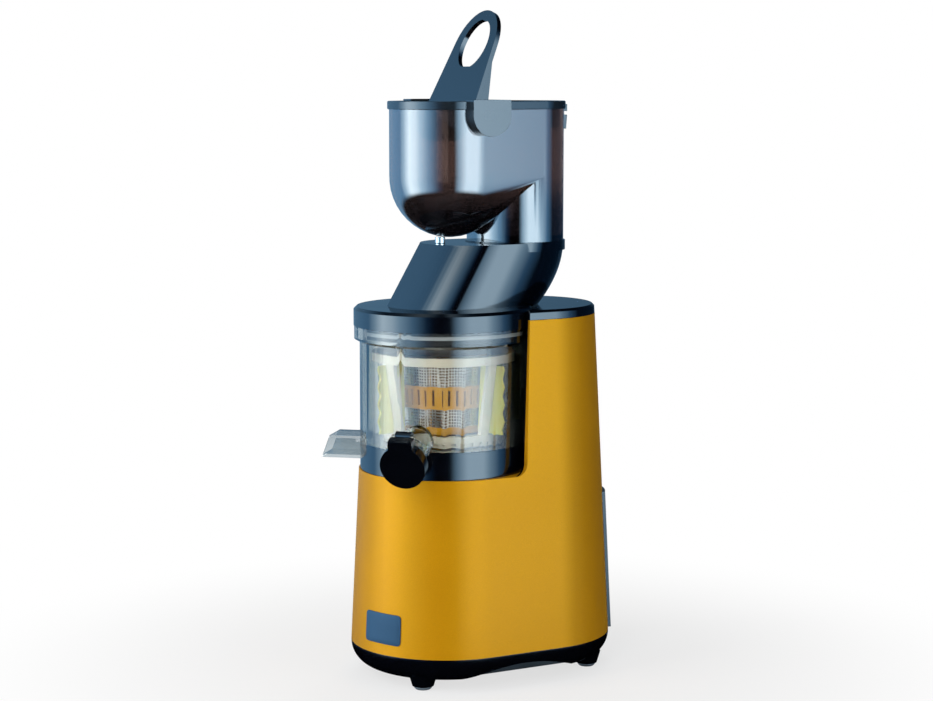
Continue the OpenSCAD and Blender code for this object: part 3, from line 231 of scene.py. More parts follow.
def fine_height_group(name, scale, stretch):
    """Fine noise as a height: moulded grain, or turning lines where the noise is stretched sideways."""
    tree, start, end = group_shell(
        name,
        (("Scale", "Float", scale), ("Strength", "Float", 0.2)),
        (("Height", "Float"),),
    )
    fine = noise(tree, start.outputs["Scale"], 2.0, stretch)
    height = tree.nodes.new("ShaderNodeMath")
    height.operation = "MULTIPLY"
    tree.links.new(fine.outputs["Fac"], height.inputs[0])
    tree.links.new(start.outputs["Strength"], height.inputs[1])
    tree.links.new(height.outputs[0], end.inputs["Height"])
    return tree


def grain_group():
    """Fine moulded grain as a height."""
    return fine_height_group("fine_grain", 900.0, (1, 1, 1))


def brushed_group():
    """Fine turning or brushing lines round the upright axis, as a height."""
    return fine_height_group("brushed_lines", 1200.0, (0.06, 0.06, 1.0))


def tone_group():
    """Two close colours mixed by soft noise, with a fine fleck on top."""
    tree, start, end = group_shell(
        "two_tone",
        (
            ("Colour", "Color", (0.5, 0.5, 0.5, 1)),
            ("Shade", "Color", (0.4, 0.4, 0.4, 1)),
            ("Scale", "Float", 30.0),
            ("Fleck scale", "Float", 1500.0),
            ("Fleck", "Float", 0.3),
        ),
        (("Colour", "Color"),),
    )
    soft = noise(tree, start.outputs["Scale"], 3.0)
    fine = noise(tree, start.outputs["Fleck scale"], 1.0)
    large = remap(tree, soft.outputs["Fac"], *PATCH_RANGE, 0.0, 1.0)
    fleck = remap(tree, fine.outputs["Fac"], *FLECK_RANGE, 0.0, 1.0)
    blend = tree.nodes.new("ShaderNodeMix")
    blend.data_type = "FLOAT"
    tree.links.new(start.outputs["Fleck"], blend.inputs["Factor"])
    tree.links.new(large.outputs["Result"], blend.inputs["A"])
    tree.links.new(fleck.outputs["Result"], blend.inputs["B"])
    mix = tree.nodes.new("ShaderNodeMix")
    mix.data_type = "RGBA"
    tree.links.new(blend.outputs["Result"], mix.inputs["Factor"])
    tree.links.new(start.outputs["Shade"], mix.inputs["A"])
    tree.links.new(start.outputs["Colour"], mix.inputs["B"])
    tree.links.new(mix.outputs["Result"], end.inputs["Colour"])
    return tree


def height_blend_group():
    """One colour low on the piece and another above, with a soft change between."""
    tree, start, end = group_shell(
        "low_to_high",
        (
            ("Low", "Color", (0.3, 0.3, 0.3, 1)),
            ("High", "Color", (0.5, 0.5, 0.5, 1)),
            ("From", "Float", 0.36),
            ("To", "Float", 0.44),
        ),
        (("Colour", "Color"),),
    )
    place = tree.nodes.new("ShaderNodeTexCoord")
    split = tree.nodes.new("ShaderNodeSeparateXYZ")
    tree.links.new(place.outputs["Object"], split.inputs["Vector"])
    step = tree.nodes.new("ShaderNodeMapRange")
    step.interpolation_type = "SMOOTHSTEP"
    tree.links.new(split.outputs["Z"], step.inputs["Value"])
    tree.links.new(start.outputs["From"], step.inputs["From Min"])
    tree.links.new(start.outputs["To"], step.inputs["From Max"])
    mix = tree.nodes.new("ShaderNodeMix")
    mix.data_type = "RGBA"
    tree.links.new(step.outputs["Result"], mix.inputs["Factor"])
    tree.links.new(start.outputs["Low"], mix.inputs["A"])
    tree.links.new(start.outputs["High"], mix.inputs["B"])
    tree.links.new(mix.outputs["Result"], end.inputs["Colour"])
    return tree


# cosine and sine of the elbow's backward lean, about 28 degrees
ELBOW_LEAN = (0.884, 0.467)


def crown_group():
    """A gentle crown across the elbow's flat sides, as a height."""
    tree, start, end = group_shell(
        "elbow_crown",
        (("Axis Y", "Float", 0.0), ("Foot Z", "Float", 0.313), ("Bulge", "Float", 8.0)),
        (("Height", "Float"),),
    )
    place = tree.nodes.new("ShaderNodeTexCoord")
    split = tree.nodes.new("ShaderNodeSeparateXYZ")
    tree.links.new(place.outputs["Object"], split.inputs["Vector"])

    def math_node(kind, a, b):
        node = tree.nodes.new("ShaderNodeMath")
        node.operation = kind
        for i, v in enumerate((a, b)):
            if isinstance(v, float):
                node.inputs[i].default_value = v
            else:
                tree.links.new(v, node.inputs[i])
        return node.outputs[0]

    # distance from the elbow's slanted middle line, square to it
    along = math_node("SUBTRACT", split.outputs["Y"], start.outputs["Axis Y"])
    up = math_node("SUBTRACT", split.outputs["Z"], start.outputs["Foot Z"])
    level, rise = (math_node("MULTIPLY", v, share) for v, share in zip((along, up), ELBOW_LEAN))
    across = math_node("SUBTRACT", level, rise)
    bowed = math_node("MULTIPLY", math_node("MULTIPLY", across, across), start.outputs["Bulge"])
    tree.links.new(math_node("MULTIPLY", bowed, -1.0), end.inputs["Height"])
    return tree


GROUP_MAKERS = {
    "handling": handling_group,
    "grain": grain_group,
    "tone": tone_group,
    "brushed": brushed_group,
    "low_to_high": height_blend_group,
    "crown": crown_group,
}
GROUPS = {}


def placed(tree, group, **values):
    """A node group placed in a material with its own values; the group is made when it is first needed."""
    if group not in GROUPS:
        GROUPS[group] = GROUP_MAKERS[group]()
    node = tree.nodes.new("ShaderNodeGroup")
    node.node_tree = GROUPS[group]
    for key, value in values.items():
        node.inputs[key.replace("_", " ")].default_value = value
    return node


# ---- materials ----


def rgba(colour, by=1.0):
    """A colour with full alpha, made lighter or darker by a factor."""
    return (colour[0] * by, colour[1] * by, colour[2] * by, 1.0)


SHADE = 0.85  # how dark a finish's second tone is, where none is given


def finish(name, colour, rough, shade=None, tone=(30.0, 0.3), marks=0.04, grain=None, brushed=None,
           **sockets):
    """A material whose colour, roughness and surface all vary a little.

    Tone is the scale and fleck of the two tones; grain and brushed are a scale, a strength and a depth.
    """
    mat = bpy.data.materials.new(name)
    mat.use_nodes = True
    tree = mat.node_tree
    shader = tree.nodes["Principled BSDF"]
    shade = rgba(colour, SHADE) if shade is None else rgba(shade)
    two = placed(tree, "tone", Colour=rgba(colour), Shade=shade, Scale=tone[0], Fleck=tone[1])
    tree.links.new(two.outputs["Colour"], shader.inputs["Base Color"])
    hand = placed(tree, "handling", Roughness=rough, Amount=marks)
    tree.links.new(hand.outputs["Roughness"], shader.inputs["Roughness"])
    if grain or brushed:
        kind, (scale, strength, depth) = ("grain", grain) if grain else ("brushed", brushed)
        height = placed(tree, kind, Scale=scale, Strength=strength)
        bump = tree.nodes.new("ShaderNodeBump")
        bump.inputs["Strength"].default_value = 1.0
        bump.inputs["Distance"].default_value = depth
        tree.links.new(height.outputs["Height"], bump.inputs["Height"])
        tree.links.new(bump.outputs["Normal"], shader.inputs["Normal"])
    for key, value in sockets.items():
        shader.inputs[key.replace("_", " ")].default_value = value
    return mat


# how far a clear face is turned away where its edge tint begins, and where it is full; this tint is partly
# the longer path through the plastic and mostly painted shade
EDGE_TURN = (0.22, 0.56)
CLEAR_MARKS = {"Amount": 0.02, "Scale": 14.0}


def clear_finish(name, high, low, levels, rough, weight, edge=None, **sockets):
    """Clear tinted plastic whose tint changes with height, and deepens where it is seen edge on. A darker low
    tint, as on the hopper, is painted shade; the edge tint is partly the longer path through the plastic and
    mostly painted shade.
    """
    mat = bpy.data.materials.new(name)
    mat.use_nodes = True
    tree = mat.node_tree
    shader = tree.nodes["Principled BSDF"]
    tint = placed(tree, "low_to_high", Low=rgba(low), High=rgba(high), From=levels[0], To=levels[1])
    colour = tint.outputs["Colour"]
    # painted shade where the face is seen edge on, with a little deeper tint from the longer path through the
    # plastic
    if edge:
        turned = tree.nodes.new("ShaderNodeLayerWeight")
        turned.inputs["Blend"].default_value = 0.5
        share = remap(tree, turned.outputs["Facing"], *EDGE_TURN, 0.0, 1.0)
        mix = tree.nodes.new("ShaderNodeMix")
        mix.data_type = "RGBA"
        mix.inputs["B"].default_value = rgba(edge)
        tree.links.new(share.outputs["Result"], mix.inputs["Factor"])
        tree.links.new(colour, mix.inputs["A"])
        colour = mix.outputs["Result"]
    tree.links.new(colour, shader.inputs["Base Color"])
    hand = placed(tree, "handling", Roughness=rough, **CLEAR_MARKS)
    tree.links.new(hand.outputs["Roughness"], shader.inputs["Roughness"])
    shader.inputs["Transmission Weight"].default_value = weight
    for key, value in sockets.items():
        shader.inputs[key.replace("_", " ")].default_value = value
    return mat


MATS = {}

# heights in metres at which a clear plastic's tint changes; the hopper's darker tint below its heights is
# painted shade
HOPPER_PAINTED_SHADE = (0.383, 0.428)
BOWL_TINT = (0.2835, 0.2865)
SPOUT_TINT = (0.18, 0.21)
# where the elbow's middle line leaves the lid, and how much its sides bulge
ELBOW_BEHIND_AXIS = 0.023
ELBOW_FOOT = 0.3132
ELBOW_BULGE = 8.0


class JUICER_OT_finishes(bpy.types.Operator):
    """Mix every finish of the juicer."""

    bl_idname = "juicer.finishes"
    bl_label = "Finishes"

    def execute(self, context):
        c = context.scene.juicer_colours
        sheen = rgba(c.black_sheen)
        MATS.update(
            gold=finish("pearl_gold", c.gold, 0.42, shade=c.gold_shade, tone=(9.0, 0.6), marks=0.03,
                        grain=(1400.0, 0.3, 0.00005), Metallic=0.13, Specular_IOR_Level=0.1,
                        Specular_Tint=rgba(c.gold), Coat_Weight=0.05, Coat_Roughness=0.14),
            black=finish("gloss_black", c.black, 0.11, marks=0.03, Specular_Tint=sheen),
            elbow=finish("elbow_black", c.black, 0.11, marks=0.03, Specular_Tint=sheen),
            satin=finish("satin_black", (0.006, 0.007, 0.009), 0.34, marks=0.06, grain=(1600.0, 0.5, 0.0001),
                         Specular_Tint=sheen),
            # the hopper's darker tint below its heights is painted shade
            smoke=clear_finish("smoked_clear", c.smoke, c.painted_low_shade, HOPPER_PAINTED_SHADE, 0.03, 0.97, IOR=1.5,
                               Coat_Weight=1.0, Coat_Roughness=0.05, Coat_IOR=1.6),
            rim=finish("smoked_rim", (0.02, 0.03, 0.04), 0.1, marks=0.02, Transmission_Weight=0.2,
                       Specular_Tint=sheen),
            # the bowl's edge tint is mostly painted shade
            bowl=clear_finish("bowl_clear", c.collar, c.bowl, BOWL_TINT, 0.015, 1.0, edge=c.bowl_edge_painted_shade,
                              IOR=1.46, Coat_Weight=0.15, Coat_Roughness=0.03),
            spout=clear_finish("spout_clear", rgba(c.collar, 0.7), c.collar, SPOUT_TINT, 0.02, 1.0,
                               IOR=1.46),
            plate=finish("plate_blue", c.plate, 0.5, marks=0.05, grain=(1500.0, 0.3, 0.00005),
                         Specular_IOR_Level=0.12),
            rubber=finish("foot_rubber", (0.16, 0.19, 0.22), 0.6, marks=0.08, grain=(900.0, 0.6, 0.0001)),
            cream=finish("cream_plastic", (0.54, 0.51, 0.41), 0.4, tone=(60.0, 0.2),
                         grain=(1500.0, 0.2, 0.00005), Subsurface_Weight=0.15, Subsurface_Scale=0.002),
            white=finish("white_plastic", (0.8, 0.8, 0.8), 0.4, grain=(1500.0, 0.2, 0.00005)),
            lime=finish("lime_silicone", (0.64, 0.61, 0.11), 0.45, tone=(40.0, 0.2),
                        grain=(700.0, 0.4, 0.00008), Subsurface_Weight=0.3, Subsurface_Scale=0.003),
            amber=finish("amber_plastic", c.amber, 0.14, marks=0.02, Transmission_Weight=0.35, IOR=1.5),
            steel=finish("brushed_steel", (0.62, 0.61, 0.58), 0.26, marks=0.08,
                         brushed=(1500.0, 0.5, 0.00004), Metallic=1.0),
            alloy=finish("cast_alloy", (0.48, 0.49, 0.5), 0.45, marks=0.1, grain=(500.0, 0.7, 0.0002),
                         Metallic=0.9),
            iron=finish("motor_iron", (0.16, 0.16, 0.17), 0.4, marks=0.1, brushed=(900.0, 0.9, 0.0001),
                        Metallic=0.9),
            nylon=finish("gear_nylon", (0.72, 0.68, 0.52), 0.4, grain=(1200.0, 0.3, 0.00006)),
            auger=finish("auger_amber", (0.20, 0.10, 0.035), 0.2, tone=(50.0, 0.2), Subsurface_Weight=0.1,
                         Subsurface_Scale=0.003),
            bronze=finish("bronze", (0.48, 0.3, 0.13), 0.38, grain=(1500.0, 0.8, 0.0001), Metallic=1.0),
            copper=finish("winding", (0.55, 0.2, 0.08), 0.35, brushed=(700.0, 1.0, 0.0003), Metallic=0.8),
            green=finish("board_green", (0.02, 0.14, 0.06), 0.35, grain=(900.0, 0.4, 0.0001)),
        )
        # the elbow's own gloss, crowned over its flat sides
        lo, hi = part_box("lid_seal")
        tree = MATS["elbow"].node_tree
        middle = (lo.y + hi.y) / 2 + ELBOW_BEHIND_AXIS
        crown = placed(tree, "crown", Axis_Y=middle, Foot_Z=ELBOW_FOOT, Bulge=ELBOW_BULGE)
        bow = tree.nodes.new("ShaderNodeBump")
        bow.inputs["Distance"].default_value = 1.0
        tree.links.new(crown.outputs["Height"], bow.inputs["Height"])
        tree.links.new(bow.outputs["Normal"], tree.nodes["Principled BSDF"].inputs["Normal"])
        return {"FINISHED"}


def dress(finish_name, *nodes):
    """Give CAD nodes that stay as they are a finish."""
    for n in nodes:
        slots = NODES[n].data.materials
        slots.clear()
        slots.append(MATS[finish_name])


# ---- modelling helpers ----


def alone(obj):
    """Only this object is selected and active."""
    bpy.ops.object.select_all(action="DESELECT")
    obj.select_set(True)
    bpy.context.view_layer.objects.active = obj


def edit(obj, mode="VERT"):
    """Into edit mode, with vertices, edges or faces as what is picked."""
    alone(obj)
    bpy.ops.object.mode_set(mode="EDIT")
    bpy.ops.mesh.select_mode(type=mode)


def done():
    """Back to object mode."""
    bpy.ops.object.mode_set(mode="OBJECT")


def apply_modifier(obj, kind, **values):
    """Add a modifier with these values and make it part of the mesh."""
    mod = obj.modifiers.new(kind.title(), kind)
    for key, value in values.items():
        setattr(mod, key, value)
    alone(obj)
    bpy.ops.object.modifier_apply(modifier=mod.name)


def put_on(obj, name, finish_name, like):
    """Name a finished piece, give it its material, and let it ride and stand for a CAD node."""
    obj.name = name
    obj.data.name = name
    obj.data.materials.clear()
    obj.data.materials.append(MATS[finish_name])
    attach(obj, NODES[like].parent.name.split(":", 1)[1])
    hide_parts(like)


# a face sunk by this many times the sum of its steps keeps the pillow's top inside the CAD's box
PILLOW_SINK = 1.5
# cosine of the largest angle between a pillowed face's normal and the given direction
PILLOW_FACING = 0.94


def pillow(piece, normals, steps, least):
    """Turn the large flat faces that look along the normals into low pillows that stay inside the box.

    Each step is an inset and a rise; faces smaller than the least area are left alone.
    """
    alone(piece)
    rise = PILLOW_SINK * sum(outward for _, outward in steps)
    for normal in normals:
        for face in piece.data.polygons:
            face.select = face.area > least and face.normal.dot(normal) > PILLOW_FACING
        if not any(face.select for face in piece.data.polygons):
            raise RuntimeError(piece.name + " has no face to raise")
        bpy.ops.object.mode_set(mode="EDIT")
        bpy.ops.mesh.select_mode(type="FACE")
        bpy.ops.transform.translate(value=normal * -rise)
        for inward, outward in steps:
            bpy.ops.mesh.inset(thickness=inward, depth=outward, use_even_offset=False)
        done()


MERGE = 0.000004  # points of a CAD mesh nearer than this, in metres, are one point
FLAT_ANGLE = math.radians(0.5)  # facets that turn by less than this are one face
SHARP_ANGLE = math.radians(32)  # edges that turn by more than this are rounded and stay crisp


def softened(node, name, finish_name, width, segments=2, raised=None):
    """A copy of a CAD node with its doubles merged, its edges rounded and its curves smooth."""
    alone(NODES[node])
    bpy.ops.object.duplicate()
    piece = bpy.context.object
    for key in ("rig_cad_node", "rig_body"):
        del piece[key]
    piece.parent = None
    edit(piece)
    bpy.ops.mesh.select_all(action="SELECT")
    bpy.ops.mesh.remove_doubles(threshold=MERGE)
    bpy.ops.mesh.dissolve_limited(angle_limit=FLAT_ANGLE)
    done()
    if raised:
        pillow(piece, *raised)
    if width:
        apply_modifier(piece, "BEVEL", width=width, segments=segments, limit_method="ANGLE",
                       angle_limit=SHARP_ANGLE, miter_outer="MITER_ARC", use_clamp_overlap=True)
    alone(piece)
    bpy.ops.object.shade_smooth_by_angle(angle=SHARP_ANGLE)
    apply_modifier(piece, "WEIGHTED_NORMAL", keep_sharp=True)
    put_on(piece, name, finish_name, node)
    return piece


class JUICER_OT_body(bpy.types.Operator):
    """Round and paint the body, pan, feet, cap, liner, seat and rear fittings."""

    bl_idname = "juicer.body"
    bl_label = "Body"

    def execute(self, context):
        s = context.scene.juicer_sizes
        softened("housing", "body_shell", "gold", s.body_round, 3)
        softened("bottom_pan", "base_pan", "black", s.trim_round)
        softened("rubber_feet", "feet", "rubber", s.fine_round)
        softened("top_cap", "column_cap", "black", s.trim_round, 3)
        softened("recess_liner", "recess_lining", "black", s.fine_round)
        softened("bowl_seat", "seat_ring", "black", s.trim_round)
        softened("rear_panel", "back_panel", "satin", s.trim_round)
        softened("switch_frame", "switch_surround", "satin", s.fine_round)
        softened("rocker_switch", "rocker", "black", s.fine_round)
        softened("cord_gland", "gland", "rubber", s.fine_round)
        return {"FINISHED"}


def base_middle():
    """The middle of the base's footprint, where the body's two round ends balance."""
    lo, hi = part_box("bottom_pan")
    return Vector(((lo.x + hi.x) / 2, (lo.y + hi.y) / 2, 0))


# the plain plate, in metres: its direction round the front end, how far out it starts, and its height
PLATE_TURN = math.radians(-69.3)
PLATE_REACH = 0.084
PLATE_LEVEL = 0.0512
PLATE_SIZE = (0.041, 0.0255)
PLATE_ROUND = 0.0032
PLATE_THICK = 0.0011
# the centre of the body's round front end, ahead of the base's middle
FRONT_END = -0.034


class JUICER_OT_plate(bpy.types.Operator):
    """Lay a plain curved plate on the front of the body."""

    bl_idname = "juicer.plate"
    bl_label = "Plain plate"

    def execute(self, context):
        across, ahead = PLATE_REACH * math.cos(PLATE_TURN), PLATE_REACH * math.sin(PLATE_TURN)
        centre = base_middle() + Vector((across, FRONT_END + ahead, PLATE_LEVEL))
        bpy.ops.object.select_all(action="DESELECT")
        bpy.ops.mesh.primitive_grid_add(
            x_subdivisions=10, y_subdivisions=6, size=1, location=centre,
            rotation=(math.radians(90), 0, PLATE_TURN + math.radians(90)),
        )
        plate = bpy.context.object
        plate.scale = (*PLATE_SIZE, 1)
        bpy.ops.object.transform_apply(location=False, rotation=False, scale=True)
        edit(plate)
        bpy.ops.mesh.select_all(action="DESELECT")
        done()
        # pick the four corners, which alone lie this near both halves of the size
        near_x, near_y = (0.995 * size / 2 for size in PLATE_SIZE)
        for v in plate.data.vertices:
            v.select = abs(v.co.x) > near_x and abs(v.co.y) > near_y
        edit(plate)
        bpy.ops.mesh.bevel(offset=PLATE_ROUND, segments=6, affect="VERTICES")
        done()
        bpy.ops.object.transform_apply(location=True, rotation=True, scale=True)
        apply_modifier(plate, "SHRINKWRAP", target=NODES["housing"], wrap_method="NEAREST_SURFACEPOINT",
                       offset=0.0001)
        apply_modifier(plate, "SOLIDIFY", thickness=PLATE_THICK, offset=1.0)
        apply_modifier(plate, "BEVEL", width=0.0003, segments=2, limit_method="ANGLE",
                       angle_limit=math.radians(50))
        alone(plate)
        bpy.ops.object.shade_smooth_by_angle(angle=math.radians(40))
        plate.name = plate.data.name = "plain_plate"
        plate.data.materials.append(MATS["plate"])
        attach(plate, "base")
        return {"FINISHED"}


# the elbow's faces have their middles between these heights
ELBOW_Z = (0.3134, 0.3646)
# insets and rises, in metres, that make the two pillows, and the least area of a face that gets one
EAR_STEPS = ((0.0012, 0.0008), (0.002, 0.0007), (0.003, 0.0005))
EAR_LEAST = 0.0003
CAP_STEPS = ((0.0006, 0.0006), (0.0009, 0.0005), (0.0013, 0.0004), (0.0016, 0.0002))
CAP_LEAST = 0.0002
# where the juice cap's face looks: out and to the front, and down with the spout's slope
CAP_OUT = (0.66, -0.66, -0.34)


class JUICER_OT_lid(bpy.types.Operator):
    """Smooth the lid with its elbow, and the support post."""

    bl_idname = "juicer.lid"
    bl_label = "Lid and elbow"

    def execute(self, context):
        s = context.scene.juicer_sizes
        lid = softened("lid", "lid_and_elbow", "black", s.trim_round, 3)
        lid.data.materials.append(MATS["elbow"])
        for face in lid.data.polygons:
            if ELBOW_Z[0] < face.center.z < ELBOW_Z[1]:
                face.material_index = 1
        softened("support_post", "post", "steel", s.fine_round)
        return {"FINISHED"}


class JUICER_OT_hopper(bpy.types.Operator):
    """Clear the hopper, and finish its rim, ears, clip and flip gate."""

    bl_idname = "juicer.hopper"
    bl_label = "Hopper and gate"

    def execute(self, context):
        s = context.scene.juicer_sizes
        shell = softened("hopper", "hopper_shell", "smoke", s.fine_round)
        shell.visible_shadow = False
        softened("hopper_rim", "rim_band", "rim", s.trim_round)
        sides = (Vector((1, 0, 0)), Vector((-1, 0, 0)))
        softened("pivot_covers", "ears", "rim", s.trim_round, 3, raised=(sides, EAR_STEPS, EAR_LEAST))
        softened("rear_clip", "clip", "rim", s.fine_round)
        softened("flip_gate", "gate_plate", "black", s.trim_round, 3)
        softened("gate_pins", "pins", "steel", s.fine_round)
        return {"FINISHED"}


# the strainer's cone below its rim, in metres: its height, how much narrower its foot is, and the shares
# of the height at which the amber band starts and how tall the band is
CONE_HEIGHT = 0.063
CONE_TAPER = 0.004
BAND_START = 1 / 3
BAND_SHARE = 0.3
BAR = 0.2  # width left beside each hole, as a share of a row's height


def strainer_sheet(s, z0, z1, radius_at, axis_x, axis_y):
    """A conical steel sheet with rows of punched holes."""
    rows = max(3, round((z1 - z0) / s.mesh_pitch))
    bpy.ops.object.select_all(action="DESELECT")
    bpy.ops.mesh.primitive_cone_add(
        vertices=s.mesh_columns, radius1=radius_at(z0), radius2=radius_at(z1), depth=z1 - z0,
        end_fill_type="NOTHING", location=(axis_x, axis_y, (z0 + z1) / 2),
    )
    sheet = bpy.context.object
    bpy.ops.object.transform_apply(location=True, rotation=True, scale=True)
    edit(sheet, "EDGE")
    bpy.ops.mesh.select_all(action="DESELECT")
    done()
    middle = (z0 + z1) / 2
    for e in sheet.data.edges:
        a, b = (sheet.data.vertices[i].co.z for i in e.vertices)
        e.select = (a - middle) * (b - middle) < 0
    edit(sheet, "EDGE")
    bpy.ops.mesh.subdivide(number_cuts=rows - 1)
    bpy.ops.mesh.select_mode(type="FACE")
    bpy.ops.mesh.select_all(action="SELECT")
    bpy.ops.mesh.inset(thickness=s.mesh_pitch * BAR, use_individual=True, use_boundary=True)
    bpy.ops.mesh.delete(type="FACE")
    done()
    apply_modifier(sheet, "SOLIDIFY", thickness=s.sheet, offset=-1.0)
    return sheet


class JUICER_OT_juicing_set(bpy.types.Operator):
    """Finish the bowl, strainer, wiper, blades, auger and the juice cap."""

    bl_idname = "juicer.juicing_set"
    bl_label = "Juicing set"

    def execute(self, context):
        s = context.scene.juicer_sizes
        clear = (
            softened("juicing_bowl", "clear_bowl", "bowl", s.fine_round),
            softened("juice_spout", "clear_spout", "bowl", s.fine_round),
            softened("pulp_spout", "smoky_spout", "spout", s.fine_round),
        )
        for piece in clear:
            piece.visible_shadow = False
        softened("strainer_basket", "amber_basket", "amber", s.fine_round * 0.6)
        softened("wiper_frame", "wiper", "cream", s.fine_round)
        softened("wiper_blades", "blades", "lime", s.fine_round)
        softened("auger", "auger_screw", "auger", s.fine_round)
        out = (Vector(CAP_OUT).normalized(),)
        softened("juice_cap", "spout_cap", "black", s.trim_round, 3, raised=(out, CAP_STEPS, CAP_LEAST))
        softened("juice_cap_pin", "cap_pin", "steel", s.fine_round)
        softened("auger_socket", "socket", "steel", 0)
        # two punched sheets, above and below the amber band
        lo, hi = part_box("strainer_screen")
        axis_x, axis_y = (lo.x + hi.x) / 2, (lo.y + hi.y) / 2
        basket_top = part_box("strainer_basket")[1].z
        rim_r = (hi.x - lo.x) / 2
        foot_z = basket_top - CONE_HEIGHT
        foot_r = rim_r - CONE_TAPER * (hi.z - foot_z) / CONE_HEIGHT

        def radius_at(z):
            return foot_r + (rim_r - foot_r) * (z - foot_z) / (hi.z - foot_z)

        band_foot = foot_z + CONE_HEIGHT * BAND_START
        band_top = band_foot + CONE_HEIGHT * BAND_SHARE
        low = strainer_sheet(s, lo.z, band_foot, radius_at, axis_x, axis_y)
        high = strainer_sheet(s, band_top, hi.z, radius_at, axis_x, axis_y)
        alone(low)
        high.select_set(True)
        bpy.ops.object.join()
        put_on(low, "strainer_sheets", "steel", "strainer_screen")
        return {"FINISHED"}


class JUICER_OT_works(bpy.types.Operator):
    """Give the motor, gears and other inner pieces their finishes."""

    bl_idname = "juicer.works"
    bl_label = "Works"

    def execute(self, context):
        dress("steel", "drive_shaft", "gear_axle", "motor_can", "housing_screws", "gearbox_screws")
        dress("alloy", "gearbox_base", "gearbox_cover")
        dress("iron", "motor_rotor")
        dress("copper", "motor_stator")
        dress("white", "wiper_pinion", "lid_bush", "motor_fan", "bowl_seal", "lid_seal", "run_capacitor")
        dress("rubber", "shaft_seal")
        dress("nylon", "step_gear", "output_gear")
        dress("bronze", "shaft_bushes")
        dress("green", "control_board")
        dress("satin", "interlock_switch")
        return {"FINISHED"}


# ---- stage ----


def view_dirs(azimuth):
    """Level directions from the middle to the camera, and to the camera's right."""
    across, ahead = math.sin(azimuth), math.cos(azimuth)
    return Vector((across, -ahead, 0)), Vector((ahead, across, 0))


def round_stage(angle, distance, z):
    """A place round the object; the angle is from the camera, positive to its right."""
    back, right = view_dirs(bpy.context.scene.juicer_camera.azimuth)
    a = math.radians(angle)
    return base_middle() + back * math.cos(a) * distance + right * math.sin(a) * distance + Vector((0, 0, z))


def facing(obj, target):
    """Turn a lamp towards a point."""
    obj.rotation_mode = "QUATERNION"
    obj.rotation_quaternion = (Vector(target) - obj.location).to_track_quat("-Z", "Y")


def area_lamp(name, place, target, size, size_y, watts):
    """A soft lamp that lights surfaces; reflections see the studio wall instead."""
    data = bpy.data.lights.new(name, "AREA")
    data.shape = "RECTANGLE"
    data.size, data.size_y, data.energy = size, size_y, watts
    lamp = bpy.data.objects.new(name, data)
    bpy.context.scene.collection.objects.link(lamp)
    lamp.location = place
    facing(lamp, target)
    lamp.visible_camera = False
    lamp.visible_glossy = False


# the studio wall by angle from the camera, positive to its right: its glow, and how warm that glow is.
# Two tall soft boxes stand at -75 and 45 degrees, with a dark gap between them and a dark side to the right.
WALL = (
    (-180, 0.3, 0.3), (-146, 0.7, 0.3), (-106, 2.1, 0.24), (-94, 4.8, 0.5), (-80, 10.0, 0.72),
    (-66, 9.0, 0.67), (-56, 6.8, 0.5), (-38, 3.6, 0.3), (-20, 0.5, 0.1), (-11, 0.0, 0.1), (9, 0.0, 0.1),
    (17, 4.2, 0.45), (33, 9.6, 0.65), (55, 9.2, 0.65), (66, 5.5, 0.5), (82, 1.9, 0.2), (98, 0.08, 0.1),
    (150, 0.05, 0.1), (180, 0.3, 0.3),
)
WALL_PEAK = 10.0
WALL_GREEN = 0.38  # red is the warmth itself, and green is the warmth to this power
WALL_RADIUS, WALL_HEIGHT, WALL_MIDDLE = 1.5, 6.0, 1.3
# heights over which the wall brightens, under the table's level, and dims towards the ceiling
WALL_DAWN = (-0.42, -0.14)
WALL_DUSK = (0.9, 2.0)


def wall_glow(glow, warmth):
    """A stop of the wall's ramp: blue is full, and a low warmth takes away red, and some green."""
    share = glow / WALL_PEAK
    return (warmth * share, warmth ** WALL_GREEN * share, share, 1.0)


